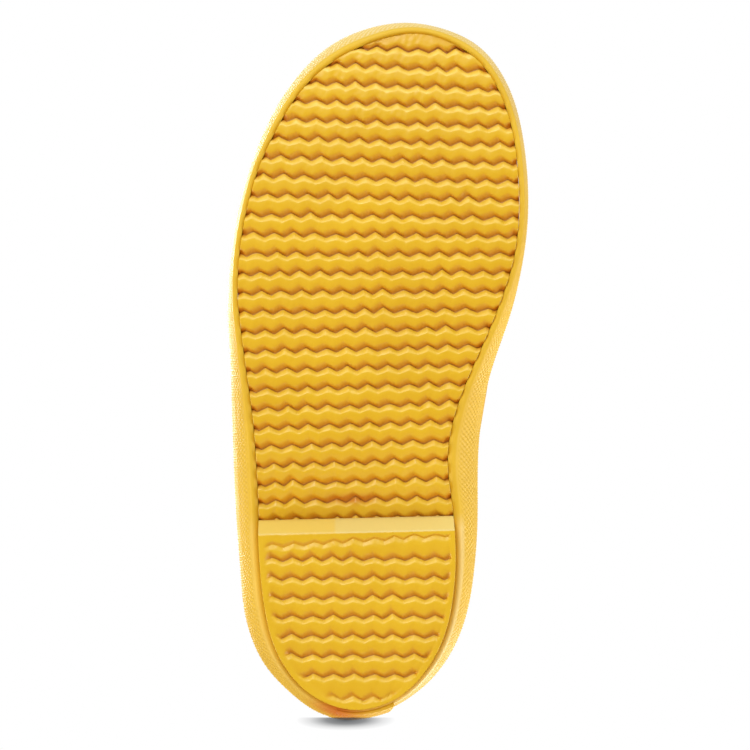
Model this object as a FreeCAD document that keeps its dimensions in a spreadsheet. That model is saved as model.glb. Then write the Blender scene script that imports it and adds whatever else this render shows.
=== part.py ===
"""A child's right-foot rubber deck boot, as a parametric document of its separate pieces.

Units are millimetres. +X points to the toe, +Y to the inner side of the foot (where the arch is) and +Z up.
The origin is the middle of the boot's footprint, on the ground.

From the ground up: a zigzag-cut outsole and a separate heel block, a spring shank in the sponge midsole, an
insole board and a removable footbed. Around them a foxing band ties the sole to the rubber upper, which is a
foot piece and a leg piece over a knitted lining, with a toe puff and a heel counter between the two.
"""

import FreeCAD, Part

import math
import os

Vector = FreeCAD.Vector
Rotation = FreeCAD.Rotation
Placement = FreeCAD.Placement

# --------------------------------------------------------------------------------------------------------
# Driving dimensions: alias, value, meaning
# --------------------------------------------------------------------------------------------------------

DIMENSIONS = [
    ("boot_length", 184.0, "nominal length that the toe spring is laid out on"),
    ("boot_top", 190.0, "height of the leg's cut edge above the ground"),
    ("span", 240.0, "length of the tools that cut across the whole boot"),
    ("toe_spring", 7.5, "how far the toe end of the sole curves up"),
    ("spring_start", 28.0, "X where the toe spring begins"),
    ("waist_front", -6.0, "X where the sole begins to rise to the waist"),
    ("waist_back", -50.0, "X where that rise ends, under the heel"),
    ("heel_lift", 6.5, "height of the heel seat above the ball"),
    ("tread_depth", 2.0, "depth of the outsole's grooves"),
    ("outsole_thick", 4.5, "outsole with its tread"),
    ("midsole_thick", 2.0, "sponge midsole"),
    ("board_thick", 1.5, "insole board"),
    ("footbed_thick", 3.5, "foam footbed"),
    ("cover_thick", 0.5, "textile cover of the footbed"),
    ("tread_pitch", 4.92, "groove to groove along the boot"),
    ("tread_rows", 25.0, "grooves in the outsole"),
    ("tread_first", 84.5, "X of the groove nearest the toe"),
    ("groove_width", 1.5, "width of a groove"),
    ("zigzag_period", 5.28, "one full zigzag across the boot"),
    ("zigzag_height", 1.5, "peak to peak of a zigzag"),
    ("heel_rows", 8.0, "grooves in the heel block"),
    ("heel_pitch", 5.05, "groove to groove on the heel block"),
    ("heel_first", -44.1, "X of the groove nearest the heel's breast"),
    ("heel_groove_depth", 1.6, "depth of the heel's grooves"),
    ("heel_rim", 1.6, "plain rim left around the heel's grooves"),
    ("breast_top", -38.2, "X of the heel breast where it meets the outsole"),
    ("breast_bottom", -42.1, "X of the heel breast at the ground"),
    ("rubber_thick", 2.2, "rubber of the upper"),
    ("stiffener_thick", 0.8, "toe puff and heel counter"),
    ("lining_thick", 1.4, "knitted lining"),
    ("counter_front", 48.0, "heel counter's front edge, behind the middle of the boot"),
    ("counter_top", 52.0, "heel counter's top edge above the ground"),
    ("foxing_height", 17.5, "top edge of the foxing above the sole line"),
    ("foxing_lift", 0.6, "lower edge of the foxing above the sole line"),
    ("foxing_gap", 0.15, "gap between the foxing and the outsole's edge"),
    ("overlay_thick", 0.9, "toe cap, back strip and collar band over the rubber"),
    ("toe_cap_back", 60.0, "X of the toe cap's rear edge"),
    ("back_strip_width", 14.0, "strip over the seam at the back of the leg"),
    ("collar_height", 11.0, "collar band, down from the leg's cut edge"),
    ("lap_front", 82.0, "height of the foot piece's top edge at the instep"),
    ("lap_back", 60.0, "height of the foot piece's top edge at the heel"),
    ("shank_length", 62.0, "spring shank"),
    ("shank_width", 11.0, "spring shank"),
    ("shank_thick", 1.0, "spring shank"),
    ("patch_width", 16.0, "patch over the foxing's joint at the heel"),
    ("patch_height", 12.5, "patch over the foxing's joint at the heel"),
    ("patch_thick", 0.9, "patch over the foxing's joint at the heel"),
    ("patch_side", -5.0, "Y of the patch's middle"),
    ("webbing_width", 16.0, "webbing of the pull loop"),
    ("webbing_thick", 1.4, "webbing of the pull loop"),
    ("anchor_length", 20.0, "webbing sewn down on the collar, below the pull loop"),
    ("loop_gap", 0.3, "gap between the sewn webbing and the free loop"),
    ("loop_height", 22.0, "free loop above its hinge line"),
    ("loop_round", 6.0, "outside radius of the loop's top"),
]

doc = FreeCAD.newDocument("deck_boot")
sheet = doc.addObject("Spreadsheet::Sheet", "Dims")
for row, (alias, value, meaning) in enumerate(DIMENSIONS, start=1):
    sheet.set(f"A{row}", meaning)
    sheet.set(f"B{row}", str(value))
    sheet.setAlias(f"B{row}", alias)
doc.recompute()


def dim(alias):
    """A driving dimension's value, in millimetres."""
    return float(sheet.get(alias))


# --------------------------------------------------------------------------------------------------------
# Outlines seen from above, as half outlines from the toe's tip to the heel's
# --------------------------------------------------------------------------------------------------------

FOXING_INNER = [
    (92.6, 7.2), (88, 24.4), (77, 33.9), (61, 38.5), (40, 39.6), (18.8, 36.1), (-2.4, 29.2), (-20, 26.6),
    (-45, 26.3), (-65.8, 23.3), (-80, 16), (-89, 4.6), (-92.4, -7.6),
]
FOXING_OUTER = [
    (92.6, 7.2), (88, -9.9), (77, -22), (61, -30.9), (40, -37.1), (18.8, -39.4), (0, -38.6), (-34, -37.6),
    (-52, -36.4), (-66, -34.9), (-78, -30), (-87.3, -20.9), (-91.2, -14.6), (-92.4, -7.6),
]
TREAD_INNER = [
    (88.5, 11), (83.4, 23.8), (75, 30.8), (62, 35.3), (44, 36.9), (28.8, 35.4), (14.8, 30.8), (4.4, 26.3),
    (-4.4, 22.5), (-13.5, 19.5), (-24, 18.2), (-38.2, 19.9), (-53.3, 20.2), (-67.5, 17.9), (-78, 12.6),
    (-85.5, 4.6), (-88.3, -6.5),
]
TREAD_OUTER = [
    (88.5, 11), (85.7, -2.4), (79.9, -13.1), (71.6, -21.2), (60.5, -27.6), (50.1, -31.9), (35.6, -35.3),
    (20.7, -36.4), (5.6, -34.9), (-14, -32.3), (-33, -31.2), (-47, -30.9), (-63, -29.2), (-74.6, -25.6),
    (-84, -17.8), (-88.3, -6.5),
]
OUTLINE_SAMPLES = 1440


def closed_curve(inner, outer):
    """A smooth closed curve through two half outlines, which share their first and last points."""
    points = [Vector(x, y, 0) for x, y in inner + outer[-2:0:-1]]
    curve = Part.BSplineCurve()
    curve.interpolate(Points=points, PeriodicFlag=True)
    return curve


def ring_wire(points):
    """A smooth closed wire through a ring of points."""
    curve = Part.BSplineCurve()
    curve.interpolate(Points=points, PeriodicFlag=True, Parameters=[float(i) for i in range(len(points) + 1)])
    return Part.Wire([curve.toShape()])


def skinned_solid(rings):
    """A solid with one smooth side face that follows a stack of rings, and level faces at both ends."""
    degree, around, levels = 3, len(rings[0]), len(rings)
    spans = levels - degree
    side = Part.BSplineSurface()
    side.buildFromPolesMultsKnots(
        [list(column) for column in zip(*rings)],
        [1] * (around + 1), [degree + 1] + [1] * (spans - 1) + [degree + 1],
        [float(i) for i in range(around + 1)], [float(i) for i in range(spans + 1)],
        True, False, degree, degree,
    )
    skin = side.toShape()
    ends = [Part.Face(Part.Wire([e])) for e in skin.Edges if e.BoundBox.ZLength < 1e-6]
    shell = Part.makeShell([skin] + ends)
    shell.sewShape()
    solid = Part.makeSolid(shell)
    if solid.Volume < 0:
        solid.reverse()
    return solid


class HalfOutlines:
    """A closed outline as two functions of X: Y on the inner side and Y on the outer side."""

    def __init__(self, inner, outer):
        curve = closed_curve(inner, outer)
        first, last = curve.FirstParameter, curve.LastParameter
        ring = [curve.value(first + (last - first) * i / OUTLINE_SAMPLES) for i in range(OUTLINE_SAMPLES)]
        toe = max(range(OUTLINE_SAMPLES), key=lambda i: ring[i].x)
        ring = ring[toe:] + ring[:toe]
        heel = min(range(OUTLINE_SAMPLES), key=lambda i: ring[i].x)
        self.front, self.back = ring[0].x, ring[heel].x
        self.toe_y, self.heel_y = ring[0].y, ring[heel].y
        self.sides = {+1: ring[: heel + 1][::-1], -1: ring[heel:] + ring[:1]}

    def y(self, along, side):
        """Y at the share along of the outline's length, 0 at the heel and 1 at the toe."""
        x = self.back + (self.front - self.back) * along
        points = self.sides[side]
        low, high = 0, len(points) - 1
        while high - low > 1:
            middle = (low + high) // 2
            low, high = (middle, high) if points[middle].x <= x else (low, middle)
        a, b = points[low], points[high]
        share = (x - a.x) / (b.x - a.x) if b.x > a.x else 0.0
        return a.y + (b.y - a.y) * min(max(share, 0.0), 1.0)


foxing_outline = HalfOutlines(FOXING_INNER, FOXING_OUTER)
tread_outline = HalfOutlines(TREAD_INNER, TREAD_OUTER)

# --------------------------------------------------------------------------------------------------------
# The sole line: the side profile that every layer of the sole follows
# --------------------------------------------------------------------------------------------------------


def rise_radius(run, rise):
    """Radius of an arc that leaves the level and climbs rise over run."""
    return (run * run + rise * rise) / (2 * rise)


def sole_line(x):
    """Height of the outsole's underside at x: level heel seat, S-curve to the level ball, toe spring."""
    front, back, lift = dim("waist_front"), dim("waist_back"), dim("heel_lift")
    start = dim("spring_start")
    half_run = (front - back) / 2
    radius = rise_radius(half_run, lift / 2)
    if x >= start:
        toe_radius = rise_radius(dim("boot_length") / 2 - start, dim("toe_spring"))
        return toe_radius - math.sqrt(toe_radius**2 - (x - start) ** 2)
    if x >= front:
        return 0.0
    if x >= front - half_run:
        return radius - math.sqrt(radius**2 - (front - x) ** 2)
    if x >= back:
        return lift - radius + math.sqrt(radius**2 - (x - back) ** 2)
    return lift


def profile_face(depth):
    """The region between the sole line and a level line depth below the ground, in the XZ plane at Y 0."""
    half = dim("span") / 2
    front, back, lift = dim("waist_front"), dim("waist_back"), dim("heel_lift")
    start, toe = dim("spring_start"), dim("boot_length") / 2 + 3
    middle = (front + back) / 2

    def on_line(x):
        return Vector(x, 0, sole_line(x))

    def arc(x0, x1):
        return Part.Arc(on_line(x0), on_line((x0 + x1) / 2), on_line(x1)).toShape()

    edges = [
        Part.makeLine(Vector(-half, 0, lift), on_line(back)),
        arc(back, middle),
        arc(middle, front),
        Part.makeLine(on_line(front), on_line(start)),
        arc(start, toe),
        Part.makeLine(on_line(toe), Vector(toe, 0, -depth)),
        Part.makeLine(Vector(toe, 0, -depth), Vector(-half, 0, -depth)),
        Part.makeLine(Vector(-half, 0, -depth), Vector(-half, 0, lift)),
    ]
    return Part.Face(Part.Wire(edges))


# --------------------------------------------------------------------------------------------------------
# The upper's shape: level rings that change from the tread's outline to the foxing's and to the leg's oval
# --------------------------------------------------------------------------------------------------------

# height, rearmost X, foremost X, share of the tread outline, width against the foxing outline, share of the
# leg's oval, and the oval's half width
STATIONS = [
    (-9, -85.5, 85.5, 1.00, 0.90, 0.00, 31.0),
    (3, -86.2, 86.6, 0.85, 0.92, 0.00, 31.0),
    (8, -88.2, 88.6, 0.45, 0.93, 0.00, 31.0),
    (14, -89.8, 90.0, 0.10, 0.945, 0.00, 31.0),
    (20, -90.2, 90.2, 0.00, 0.945, 0.00, 31.0),
    (27, -90.1, 88.0, 0.00, 0.94, 0.00, 31.0),
    (33, -89.6, 82.8, 0.00, 0.92, 0.02, 30.5),
    (38, -88.8, 75.8, 0.00, 0.90, 0.05, 30.2),
    (43, -87.8, 66.2, 0.00, 0.88, 0.10, 30.0),
    (48, -86.8, 54.4, 0.00, 0.86, 0.17, 30.0),
    (54, -85.7, 40.6, 0.00, 0.85, 0.27, 30.0),
    (62, -84.6, 27.2, 0.00, 0.84, 0.43, 30.0),
    (72, -83.7, 16.0, 0.00, 0.84, 0.64, 30.2),
    (84, -83.1, 8.4, 0.00, 0.84, 0.84, 30.7),
    (100, -82.8, 4.0, 0.00, 0.84, 0.97, 31.4),
    (120, -82.8, 2.4, 0.00, 0.84, 1.00, 32.2),
    (150, -83.0, 3.0, 0.00, 0.84, 1.00, 33.2),
    (180, -83.3, 4.6, 0.00, 0.84, 1.00, 34.0),
    (204, -83.5, 6.0, 0.00, 0.84, 1.00, 34.5),
]
LEG_CENTRE_Y = -4.2
WARP_FULL, WARP_END = 26.0, 66.0
RING_POINTS = 48
STEP = 1e-3


def station(z):
    """The row of STATIONS at height z, by a smooth curve through each column."""
    heights = [s[0] for s in STATIONS]
    i = max(0, min(len(heights) - 2, sum(h <= z for h in heights) - 1))
    z0, z1 = heights[i], heights[i + 1]
    t = (z - z0) / (z1 - z0)

    def slope(k, column):
        a, b = max(k - 1, 0), min(k + 1, len(STATIONS) - 1)
        return (STATIONS[b][column] - STATIONS[a][column]) / (STATIONS[b][0] - STATIONS[a][0])

    values = []
    for column in range(1, len(STATIONS[0])):
        v0, v1 = STATIONS[i][column], STATIONS[i + 1][column]
        m0, m1 = slope(i, column) * (z1 - z0), slope(i + 1, column) * (z1 - z0)
        smooth = (2 * t**3 - 3 * t**2 + 1) * v0 + (t**3 - 2 * t**2 + t) * m0
        smooth += (3 * t**2 - 2 * t**3) * v1 + (t**3 - t**2) * m1
        values.append(smooth)
    return values


def fade(z):
    """How much of the sole line's shape a ring at height z takes: all near the sole, none on the leg."""
    if z < 0:
        return max(0.0, 1 + z / 6)
    t = min(max((z - WARP_FULL) / (WARP_END - WARP_FULL), 0.0), 1.0)
    return 1 - t * t * (3 - 2 * t)


def upper_point(angle, z):
    """A point of the rubber's outer surface. Angle 0 is the toe, and pi is the heel, by the inner side."""
    back, front, tread_share, width, leg_share, leg_half = station(z)
    along = (1 + math.cos(angle)) / 2
    side = 1 if math.sin(angle) >= 0 else -1
    x = back + (front - back) * along
    middle = foxing_outline.heel_y + (foxing_outline.toe_y - foxing_outline.heel_y) * along
    foot_y = middle + (foxing_outline.y(along, side) - middle) * width
    tread_middle = tread_outline.heel_y + (tread_outline.toe_y - tread_outline.heel_y) * along
    tread_y = tread_middle + (tread_outline.y(along, side) - tread_middle) * width
    foot_y = foot_y + (tread_y - foot_y) * tread_share
    leg_y = LEG_CENTRE_Y + side * leg_half * math.sqrt(max(0.0, 1 - (2 * along - 1) ** 2))
    y = foot_y + (leg_y - foot_y) * leg_share
    return Vector(x, y, z + sole_line(x) * fade(z))


def offset_point(angle, z, outwards):
    """A point off the upper's surface, along its normal. The first and last rings stay level."""
    p = upper_point(angle, z)
    if outwards == 0:
        return p
    around = upper_point(angle + STEP, z) - upper_point(angle - STEP, z)
    up = upper_point(angle, z + STEP) - upper_point(angle, z - STEP)
    normal = around.cross(up)
    if z in (RING_HEIGHTS[0], RING_HEIGHTS[-1]):
        normal.z = 0
        p.z += -outwards if z > 0 else outwards  # an inner shape stands out of an outer one at both ends
    normal.normalize()
    return p + normal * outwards


RING_HEIGHTS = [
    -9, -2, 3, 7, 11, 16, 22, 27, 31, 35, 38.5, 42, 46, 50, 55, 61, 68, 77, 88, 102, 122, 150, 180, 204,
]


def upper_solid(outwards):
    """The upper's outer shape as one solid, moved outwards (or inwards, if negative) along its normal."""
    angles = [2 * math.pi * i / RING_POINTS for i in range(RING_POINTS)]
    return skinned_solid([[offset_point(a, z, outwards) for a in angles] for z in RING_HEIGHTS])


# --------------------------------------------------------------------------------------------------------
# Tools shared by several pieces
# --------------------------------------------------------------------------------------------------------


def tool(name, shape):
    """A helper object of the document, which isn't one of the boot's pieces."""
    item = doc.addObject("Part::Feature", name)
    item.Shape = shape
    return item


def solid_under(name, offset):
    """Everything below the sole line moved up by offset, an expression on the sheet's cells."""
    item = doc.addObject("Part::Extrusion", name)
    item.Base = sole_profile
    item.DirMode = "Custom"
    item.Dir = Vector(0, 1, 0)
    item.Solid = True
    item.Symmetric = True
    item.setExpression("LengthFwd", "Dims.span")
    item.setExpression("Placement.Base.z", offset)
    return item


def prism(name, wire, low, height):
    """An upright prism on a level wire, from low up by height, both expressions on the sheet's cells."""
    item = doc.addObject("Part::Extrusion", name)
    item.Base = tool(name + "_outline", Part.Face(wire))
    item.DirMode = "Custom"
    item.Dir = Vector(0, 0, 1)
    item.Solid = True
    item.setExpression("LengthFwd", height)
    item.setExpression("Placement.Base.z", low)
    return item


def box(name, **expressions):
    """A box whose sizes and corner are expressions: length, width, height, x, y and z."""
    item = doc.addObject("Part::Box", name)
    for key in ("length", "width", "height"):
        item.setExpression(key.capitalize(), expressions[key])
    for key in ("x", "y", "z"):
        item.setExpression("Placement.Base." + key, expressions[key])
    return item


def boolean(kind, name, base, *tools):
    """A chain of Part::Cut, Part::Common or Part::Fuse objects. The last one takes the name."""
    for index, each in enumerate(tools):
        last = index == len(tools) - 1
        item = doc.addObject("Part::" + kind, name if last else f"{name}_step_{index}")
        item.Refine = False
        item.Base, item.Tool = base, each
        base = item
    return base


def cut(name, base, *tools):
    return boolean("Cut", name, base, *tools)


def common(name, base, *tools):
    return boolean("Common", name, base, *tools)


def fuse(name, base, *tools):
    return boolean("Fuse", name, base, *tools)


def outline_wire(inner, outer, inset=0.0, points=56):
    """The closed outline as a level wire, moved inwards by inset."""
    curve = closed_curve(inner, outer)
    first, length = curve.FirstParameter, curve.LastParameter - curve.FirstParameter
    ring = []
    for i in range(points):
        at = first + length * i / points
        along = curve.tangent(at)[0]
        outwards = Vector(along.y, -along.x, 0)
        ring.append(curve.value(at) - outwards * inset)
    return ring_wire(ring)


def zigzag_wire(x, width):
    """A closed zigzag band across the boot, centred on x."""
    half_period, swing = dim("zigzag_period") / 2, dim("zigzag_height") / 2
    count = int(dim("boot_length") / 2 / half_period)
    steps = range(-count // 2, count // 2 + 1)
    front = [Vector(x + width / 2 + (swing if i % 2 else -swing), i * half_period, 0) for i in steps]
    rear = [Vector(x - width / 2 + (swing if i % 2 else -swing), i * half_period, 0) for i in steps]
    ring = front + rear[::-1]
    return Part.Wire([Part.makeLine(a, b) for a, b in zip(ring, ring[1:] + ring[:1])])


def zigzag_grooves(name, first, pitch, rows, low, height):
    """One prism for each groove, as a compound, a pitch apart from first towards the heel."""
    bands = [Part.Face(zigzag_wire(first - i * pitch, dim("groove_width"))) for i in range(rows)]
    item = doc.addObject("Part::Extrusion", name)
    item.Base = tool(name + "_bands", Part.Compound(bands))
    item.DirMode = "Custom"
    item.Dir = Vector(0, 0, 1)
    item.Solid = True
    item.setExpression("LengthFwd", height)
    item.setExpression("Placement.Base.z", low)
    return item


sole_profile = tool("sole_profile", profile_face(depth=30.0))
under_ground_line = solid_under("under_sole_line", "0 mm")
under_tread = solid_under("under_tread", "Dims.tread_depth * 1mm")
under_outsole = solid_under("under_outsole", "Dims.outsole_thick * 1mm")
under_midsole = solid_under("under_midsole", "(Dims.outsole_thick + Dims.midsole_thick) * 1mm")
BOARD_TOP = "Dims.outsole_thick + Dims.midsole_thick + Dims.board_thick"
under_board = solid_under("under_board", f"({BOARD_TOP}) * 1mm")
under_footbed = solid_under("under_footbed", f"({BOARD_TOP} + Dims.footbed_thick) * 1mm")
under_cover = solid_under("under_cover", f"({BOARD_TOP} + Dims.footbed_thick + Dims.cover_thick) * 1mm")
under_foxing_top = solid_under("under_foxing_top", "Dims.foxing_height * 1mm")
under_foxing_edge = solid_under("under_foxing_edge", "Dims.foxing_lift * 1mm")

upper_outside = tool("upper_outside", upper_solid(0.0))
rubber_inside = tool("rubber_inside", upper_solid(-dim("rubber_thick")))
stiffener_inside = tool("stiffener_inside", upper_solid(-dim("rubber_thick") - dim("stiffener_thick")))
lining_inside = tool("lining_inside", upper_solid(-dim("rubber_thick") - dim("lining_thick")))
overlay_outside = tool("overlay_outside", upper_solid(dim("overlay_thick")))

above_leg = box(
    "above_leg", length="Dims.span", width="Dims.span", height="Dims.span",
    x="-Dims.span / 2 * 1mm", y="-Dims.span / 2 * 1mm", z="Dims.boot_top * 1mm",
)

pieces = []


def piece(label, item):
    """Marks an object of the document as one of the boot's pieces, with the label that names its file."""
    item.Label = label
    pieces.append(item)
    return item


# --------------------------------------------------------------------------------------------------------
# Sole: outsole, heel block, midsole, shank, insole board, footbed and its cover
# --------------------------------------------------------------------------------------------------------

full_height = "Dims.span * 1mm"
tread_prism = prism("tread_prism", outline_wire(TREAD_INNER, TREAD_OUTER), "-20 mm", full_height)
heel_zone = box(
    "heel_zone", length="Dims.span", width="Dims.span", height="Dims.span",
    x="(Dims.breast_top - Dims.span) * 1mm", y="-Dims.span / 2 * 1mm", z="-20 mm",
)
outsole_grooves = zigzag_grooves(
    "outsole_grooves", dim("tread_first"), dim("tread_pitch"), int(dim("tread_rows")), "-10 mm", "30 mm"
)
outsole_slab = cut("outsole_slab", common("sole_edge", under_outsole, tread_prism), under_ground_line)
under_heel_seat = common("under_heel_seat", under_tread, heel_zone)
tread_cuts = common("tread_cuts", outsole_grooves, under_tread)
piece("outsole", cut("outsole_body", outsole_slab, under_heel_seat, tread_cuts))


def heel_breast_wedge():
    """The prism in front of the heel's sloping breast."""
    top, bottom = dim("breast_top"), dim("breast_bottom")
    slope = (top - bottom) / sole_line(top)
    low, high, ahead = -5.0, 25.0, dim("span") / 2
    corners = [
        Vector(bottom + slope * low, 0, low), Vector(ahead, 0, low), Vector(ahead, 0, high),
        Vector(bottom + slope * high, 0, high),
    ]
    face = Part.Face(Part.makePolygon(corners + corners[:1]))
    face.translate(Vector(0, -dim("span") / 2, 0))
    return face.extrude(Vector(0, dim("span"), 0))


heel_prism = prism("heel_prism", outline_wire(TREAD_INNER, TREAD_OUTER), "0 mm", full_height)
heel_blank = common("heel_under_seat", heel_prism, under_heel_seat)
heel_full = cut("heel_full", heel_blank, tool("breast_wedge", heel_breast_wedge()))
rim_prism = prism(
    "heel_rim_prism", outline_wire(TREAD_INNER, TREAD_OUTER, inset=dim("heel_rim")), "-5 mm",
    "(5 + Dims.heel_groove_depth) * 1mm",
)
heel_grooves = zigzag_grooves(
    "heel_grooves", dim("heel_first"), dim("heel_pitch"), int(dim("heel_rows")), "-5 mm", "20 mm"
)
heel_cuts = common("heel_cuts", rim_prism, heel_grooves)
piece("heel_block", cut("heel_block_body", heel_full, heel_cuts))

inside_rubber = common("midsole_zone", under_midsole, rubber_inside)

shank = doc.addObject("PartDesign::Body", "shank_body")
shank_pad = shank.newObject("PartDesign::Pad", "shank_pad")
shank_sketch = shank.newObject("Sketcher::SketchObject", "shank_outline")
top_plane = [f for f in shank.Origin.OriginFeatures if f.Role == "XY_Plane"][0]
shank_sketch.AttachmentSupport = [(top_plane, "")]
shank_sketch.MapMode = "FlatFace"
half_width = dim("shank_width") / 2
half_run = dim("shank_length") / 2 - half_width
for end in (-1, 1):
    rear, front = Vector(-half_run, end * half_width, 0), Vector(half_run, end * half_width, 0)
    shank_sketch.addGeometry(Part.LineSegment(rear, front))
    low, high = Vector(end * half_run, -half_width, 0), Vector(end * half_run, half_width, 0)
    shank_sketch.addGeometry(Part.Arc(low, Vector(end * (half_run + half_width), 0, 0), high))
shank_pad.Profile = shank_sketch
shank_pad.setExpression("Length", "Dims.span * 1mm")
shank.Tip = shank_pad
shank.setExpression("Placement.Base.x", "(Dims.waist_front + Dims.waist_back) / 2 * 1mm")
shank.Placement.Base.y = LEG_CENTRE_Y
under_shank_top = solid_under("under_shank_top", "(Dims.outsole_thick + Dims.shank_thick) * 1mm")
shank_strip = cut("shank_strip", common("shank_zone", shank, under_shank_top), under_outsole)
piece("shank", shank_strip)

piece("midsole", cut("midsole_body", inside_rubber, under_outsole, shank_strip))
piece("insole_board", cut("board_body", common("board_zone", under_board, rubber_inside), under_midsole))
piece("footbed", cut("footbed_body", common("footbed_zone", under_footbed, lining_inside), under_board))
piece("footbed_cover", cut("cover_body", common("cover_zone", under_cover, lining_inside), under_footbed))

# --------------------------------------------------------------------------------------------------------
# Upper: foot piece, leg piece, lining, toe puff, heel counter
# --------------------------------------------------------------------------------------------------------


def above_lap(raise_by=0.0):
    """Everything above the slanting line where the foot piece ends and the leg piece begins."""
    half = dim("span") / 2
    heel_x, instep_x = -90.0, 10.0
    slope = (dim("lap_front") - dim("lap_back")) / (instep_x - heel_x)
    low = dim("lap_back") + slope * (-half - heel_x) + raise_by
    high = dim("lap_back") + slope * (half - heel_x) + raise_by
    top = dim("span")
    corners = [Vector(-half, 0, low), Vector(half, 0, high), Vector(half, 0, top), Vector(-half, 0, top)]
    face = Part.Face(Part.makePolygon(corners + corners[:1]))
    face.translate(Vector(0, -half, 0))
    return face.extrude(Vector(0, 2 * half, 0))


above_lap_tool = tool("above_lap", above_lap())
rubber_shell = cut("rubber_shell", upper_outside, rubber_inside, above_leg, under_outsole)
piece("foot_upper", cut("foot_upper_body", rubber_shell, above_lap_tool))
piece("leg_upper", common("leg_upper_body", rubber_shell, above_lap_tool))

puff_zone = box(
    "puff_zone", length="Dims.span", width="Dims.span", height="Dims.span",
    x="(Dims.toe_cap_back + 2) * 1mm", y="-Dims.span / 2 * 1mm", z="-20 mm",
)
counter_zone = box(
    "counter_zone", length="Dims.span / 2 - Dims.counter_front", width="Dims.span",
    height="Dims.counter_top + 20",
    x="-Dims.span / 2 * 1mm", y="-Dims.span / 2 * 1mm", z="-20 mm",
)
stiffener_shell = cut("stiffener_shell", rubber_inside, stiffener_inside, under_board)
toe_puff = piece("toe_puff", common("toe_puff_body", stiffener_shell, puff_zone))
heel_counter = piece("heel_counter", common("heel_counter_body", stiffener_shell, counter_zone))
lining_shell = cut("lining_shell", rubber_inside, lining_inside, above_leg, under_board)
piece("lining", cut("lining_body", lining_shell, toe_puff, heel_counter))

# --------------------------------------------------------------------------------------------------------
# Foxing band around the sole's edge, and the patch over its joint
# --------------------------------------------------------------------------------------------------------

# height, share of the way from the tread's outline to the foxing's, and growth outwards
FOXING_RINGS = [(-6, 0.0, 0.9), (0, 0.12, 0.9), (4, 0.5, 0.6), (8, 0.8, 0.25), (13, 1.0, 0.0), (19, 1.0, 0.0)]


def foxing_ring(angle, share):
    """A level point a share of the way from the tread's outline to the foxing's."""
    along, side = (1 + math.cos(angle)) / 2, 1 if math.sin(angle) >= 0 else -1

    def on(outline):
        return Vector(outline.back + (outline.front - outline.back) * along, outline.y(along, side), 0)

    return on(tread_outline) * (1 - share) + on(foxing_outline) * share


def foxing_point(angle, z, outwards=0.0):
    """A point of the foxing's outer face, by its height above the sole line."""
    heights = [r[0] for r in FOXING_RINGS]
    i = max(0, min(len(heights) - 2, sum(h <= z for h in heights) - 1))
    t = (z - heights[i]) / (heights[i + 1] - heights[i])
    share, growth = (FOXING_RINGS[i][k] + (FOXING_RINGS[i + 1][k] - FOXING_RINGS[i][k]) * t for k in (1, 2))
    tangent = foxing_ring(angle + STEP, share) - foxing_ring(angle - STEP, share)
    normal = Vector(tangent.y, -tangent.x, 0)
    normal.normalize()
    p = foxing_ring(angle, share) + normal * (growth + outwards)
    return Vector(p.x, p.y, z + sole_line(p.x))


def foxing_solid(outwards=0.0):
    """The foxing band's outer shape as one solid, from below the ground to above its top edge."""
    angles = [2 * math.pi * i / RING_POINTS for i in range(RING_POINTS)]
    rings = [[foxing_point(a, z, outwards) for a in angles] for z in (-1, 2, 5, 8, 11, 15, 20)]
    floor = [Vector(p.x, p.y, -30 + outwards) for p in rings[0]]
    ceiling = [Vector(p.x, p.y, 50 - outwards) for p in rings[-1]]
    return skinned_solid([floor] + rings + [ceiling])


foxing_outside = tool("foxing_outside", foxing_solid())
patch_outside = tool("patch_outside", foxing_solid(dim("patch_thick")))
edge_prism = prism(
    "edge_prism", outline_wire(TREAD_INNER, TREAD_OUTER, inset=-dim("foxing_gap")), "-20 mm", full_height
)
sole_core = common("sole_core", edge_prism, under_outsole)
foxing_zone = common("foxing_zone", foxing_outside, under_foxing_top)
piece("foxing_band", cut("foxing_body", foxing_zone, upper_outside, sole_core, under_foxing_edge))

behind_boot = "-Dims.span / 2 * 1mm"
patch_zone = box(
    "patch_zone", length="Dims.span / 4", width="Dims.patch_width", height="Dims.patch_height",
    x=behind_boot, y="(Dims.patch_side - Dims.patch_width / 2) * 1mm",
    z="(Dims.heel_lift + Dims.foxing_lift) * 1mm",
)
piece("foxing_patch", cut("patch_body", common("patch_blank", patch_outside, patch_zone), foxing_outside))

# --------------------------------------------------------------------------------------------------------
# Overlays on the upper: toe cap, back strip, collar band
# --------------------------------------------------------------------------------------------------------

cap_zone = box(
    "cap_zone", length="Dims.span", width="Dims.span", height="Dims.span",
    x="Dims.toe_cap_back * 1mm", y="-Dims.span / 2 * 1mm", z="0 mm",
)
cap_blank = common("cap_blank", overlay_outside, cap_zone)
piece("toe_cap", cut("toe_cap_body", cap_blank, upper_outside, under_foxing_top))
strip_zone = box(
    "strip_zone", length="Dims.span / 4", width="Dims.back_strip_width",
    height="Dims.boot_top - Dims.collar_height - 0.2",
    x=behind_boot, y=f"({LEG_CENTRE_Y} - Dims.back_strip_width / 2) * 1mm", z="0 mm",
)
strip_blank = common("strip_blank", overlay_outside, strip_zone)
piece("back_strip", cut("back_strip_body", strip_blank, upper_outside, under_foxing_top))

collar_zone = box(
    "collar_zone", length="Dims.span", width="Dims.span", height="Dims.collar_height + Dims.overlay_thick",
    x="-Dims.span / 2 * 1mm", y="-Dims.span / 2 * 1mm", z="(Dims.boot_top - Dims.collar_height) * 1mm",
)
collar_inside = tool(
    "collar_inside", upper_solid(-dim("rubber_thick") - dim("lining_thick") - dim("overlay_thick"))
)
leg_wall = cut("leg_wall", upper_outside, lining_inside, above_leg)
collar_ring = common("collar_ring", overlay_outside, collar_zone)
piece("collar_band", cut("collar_body", collar_ring, collar_inside, leg_wall))

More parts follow.
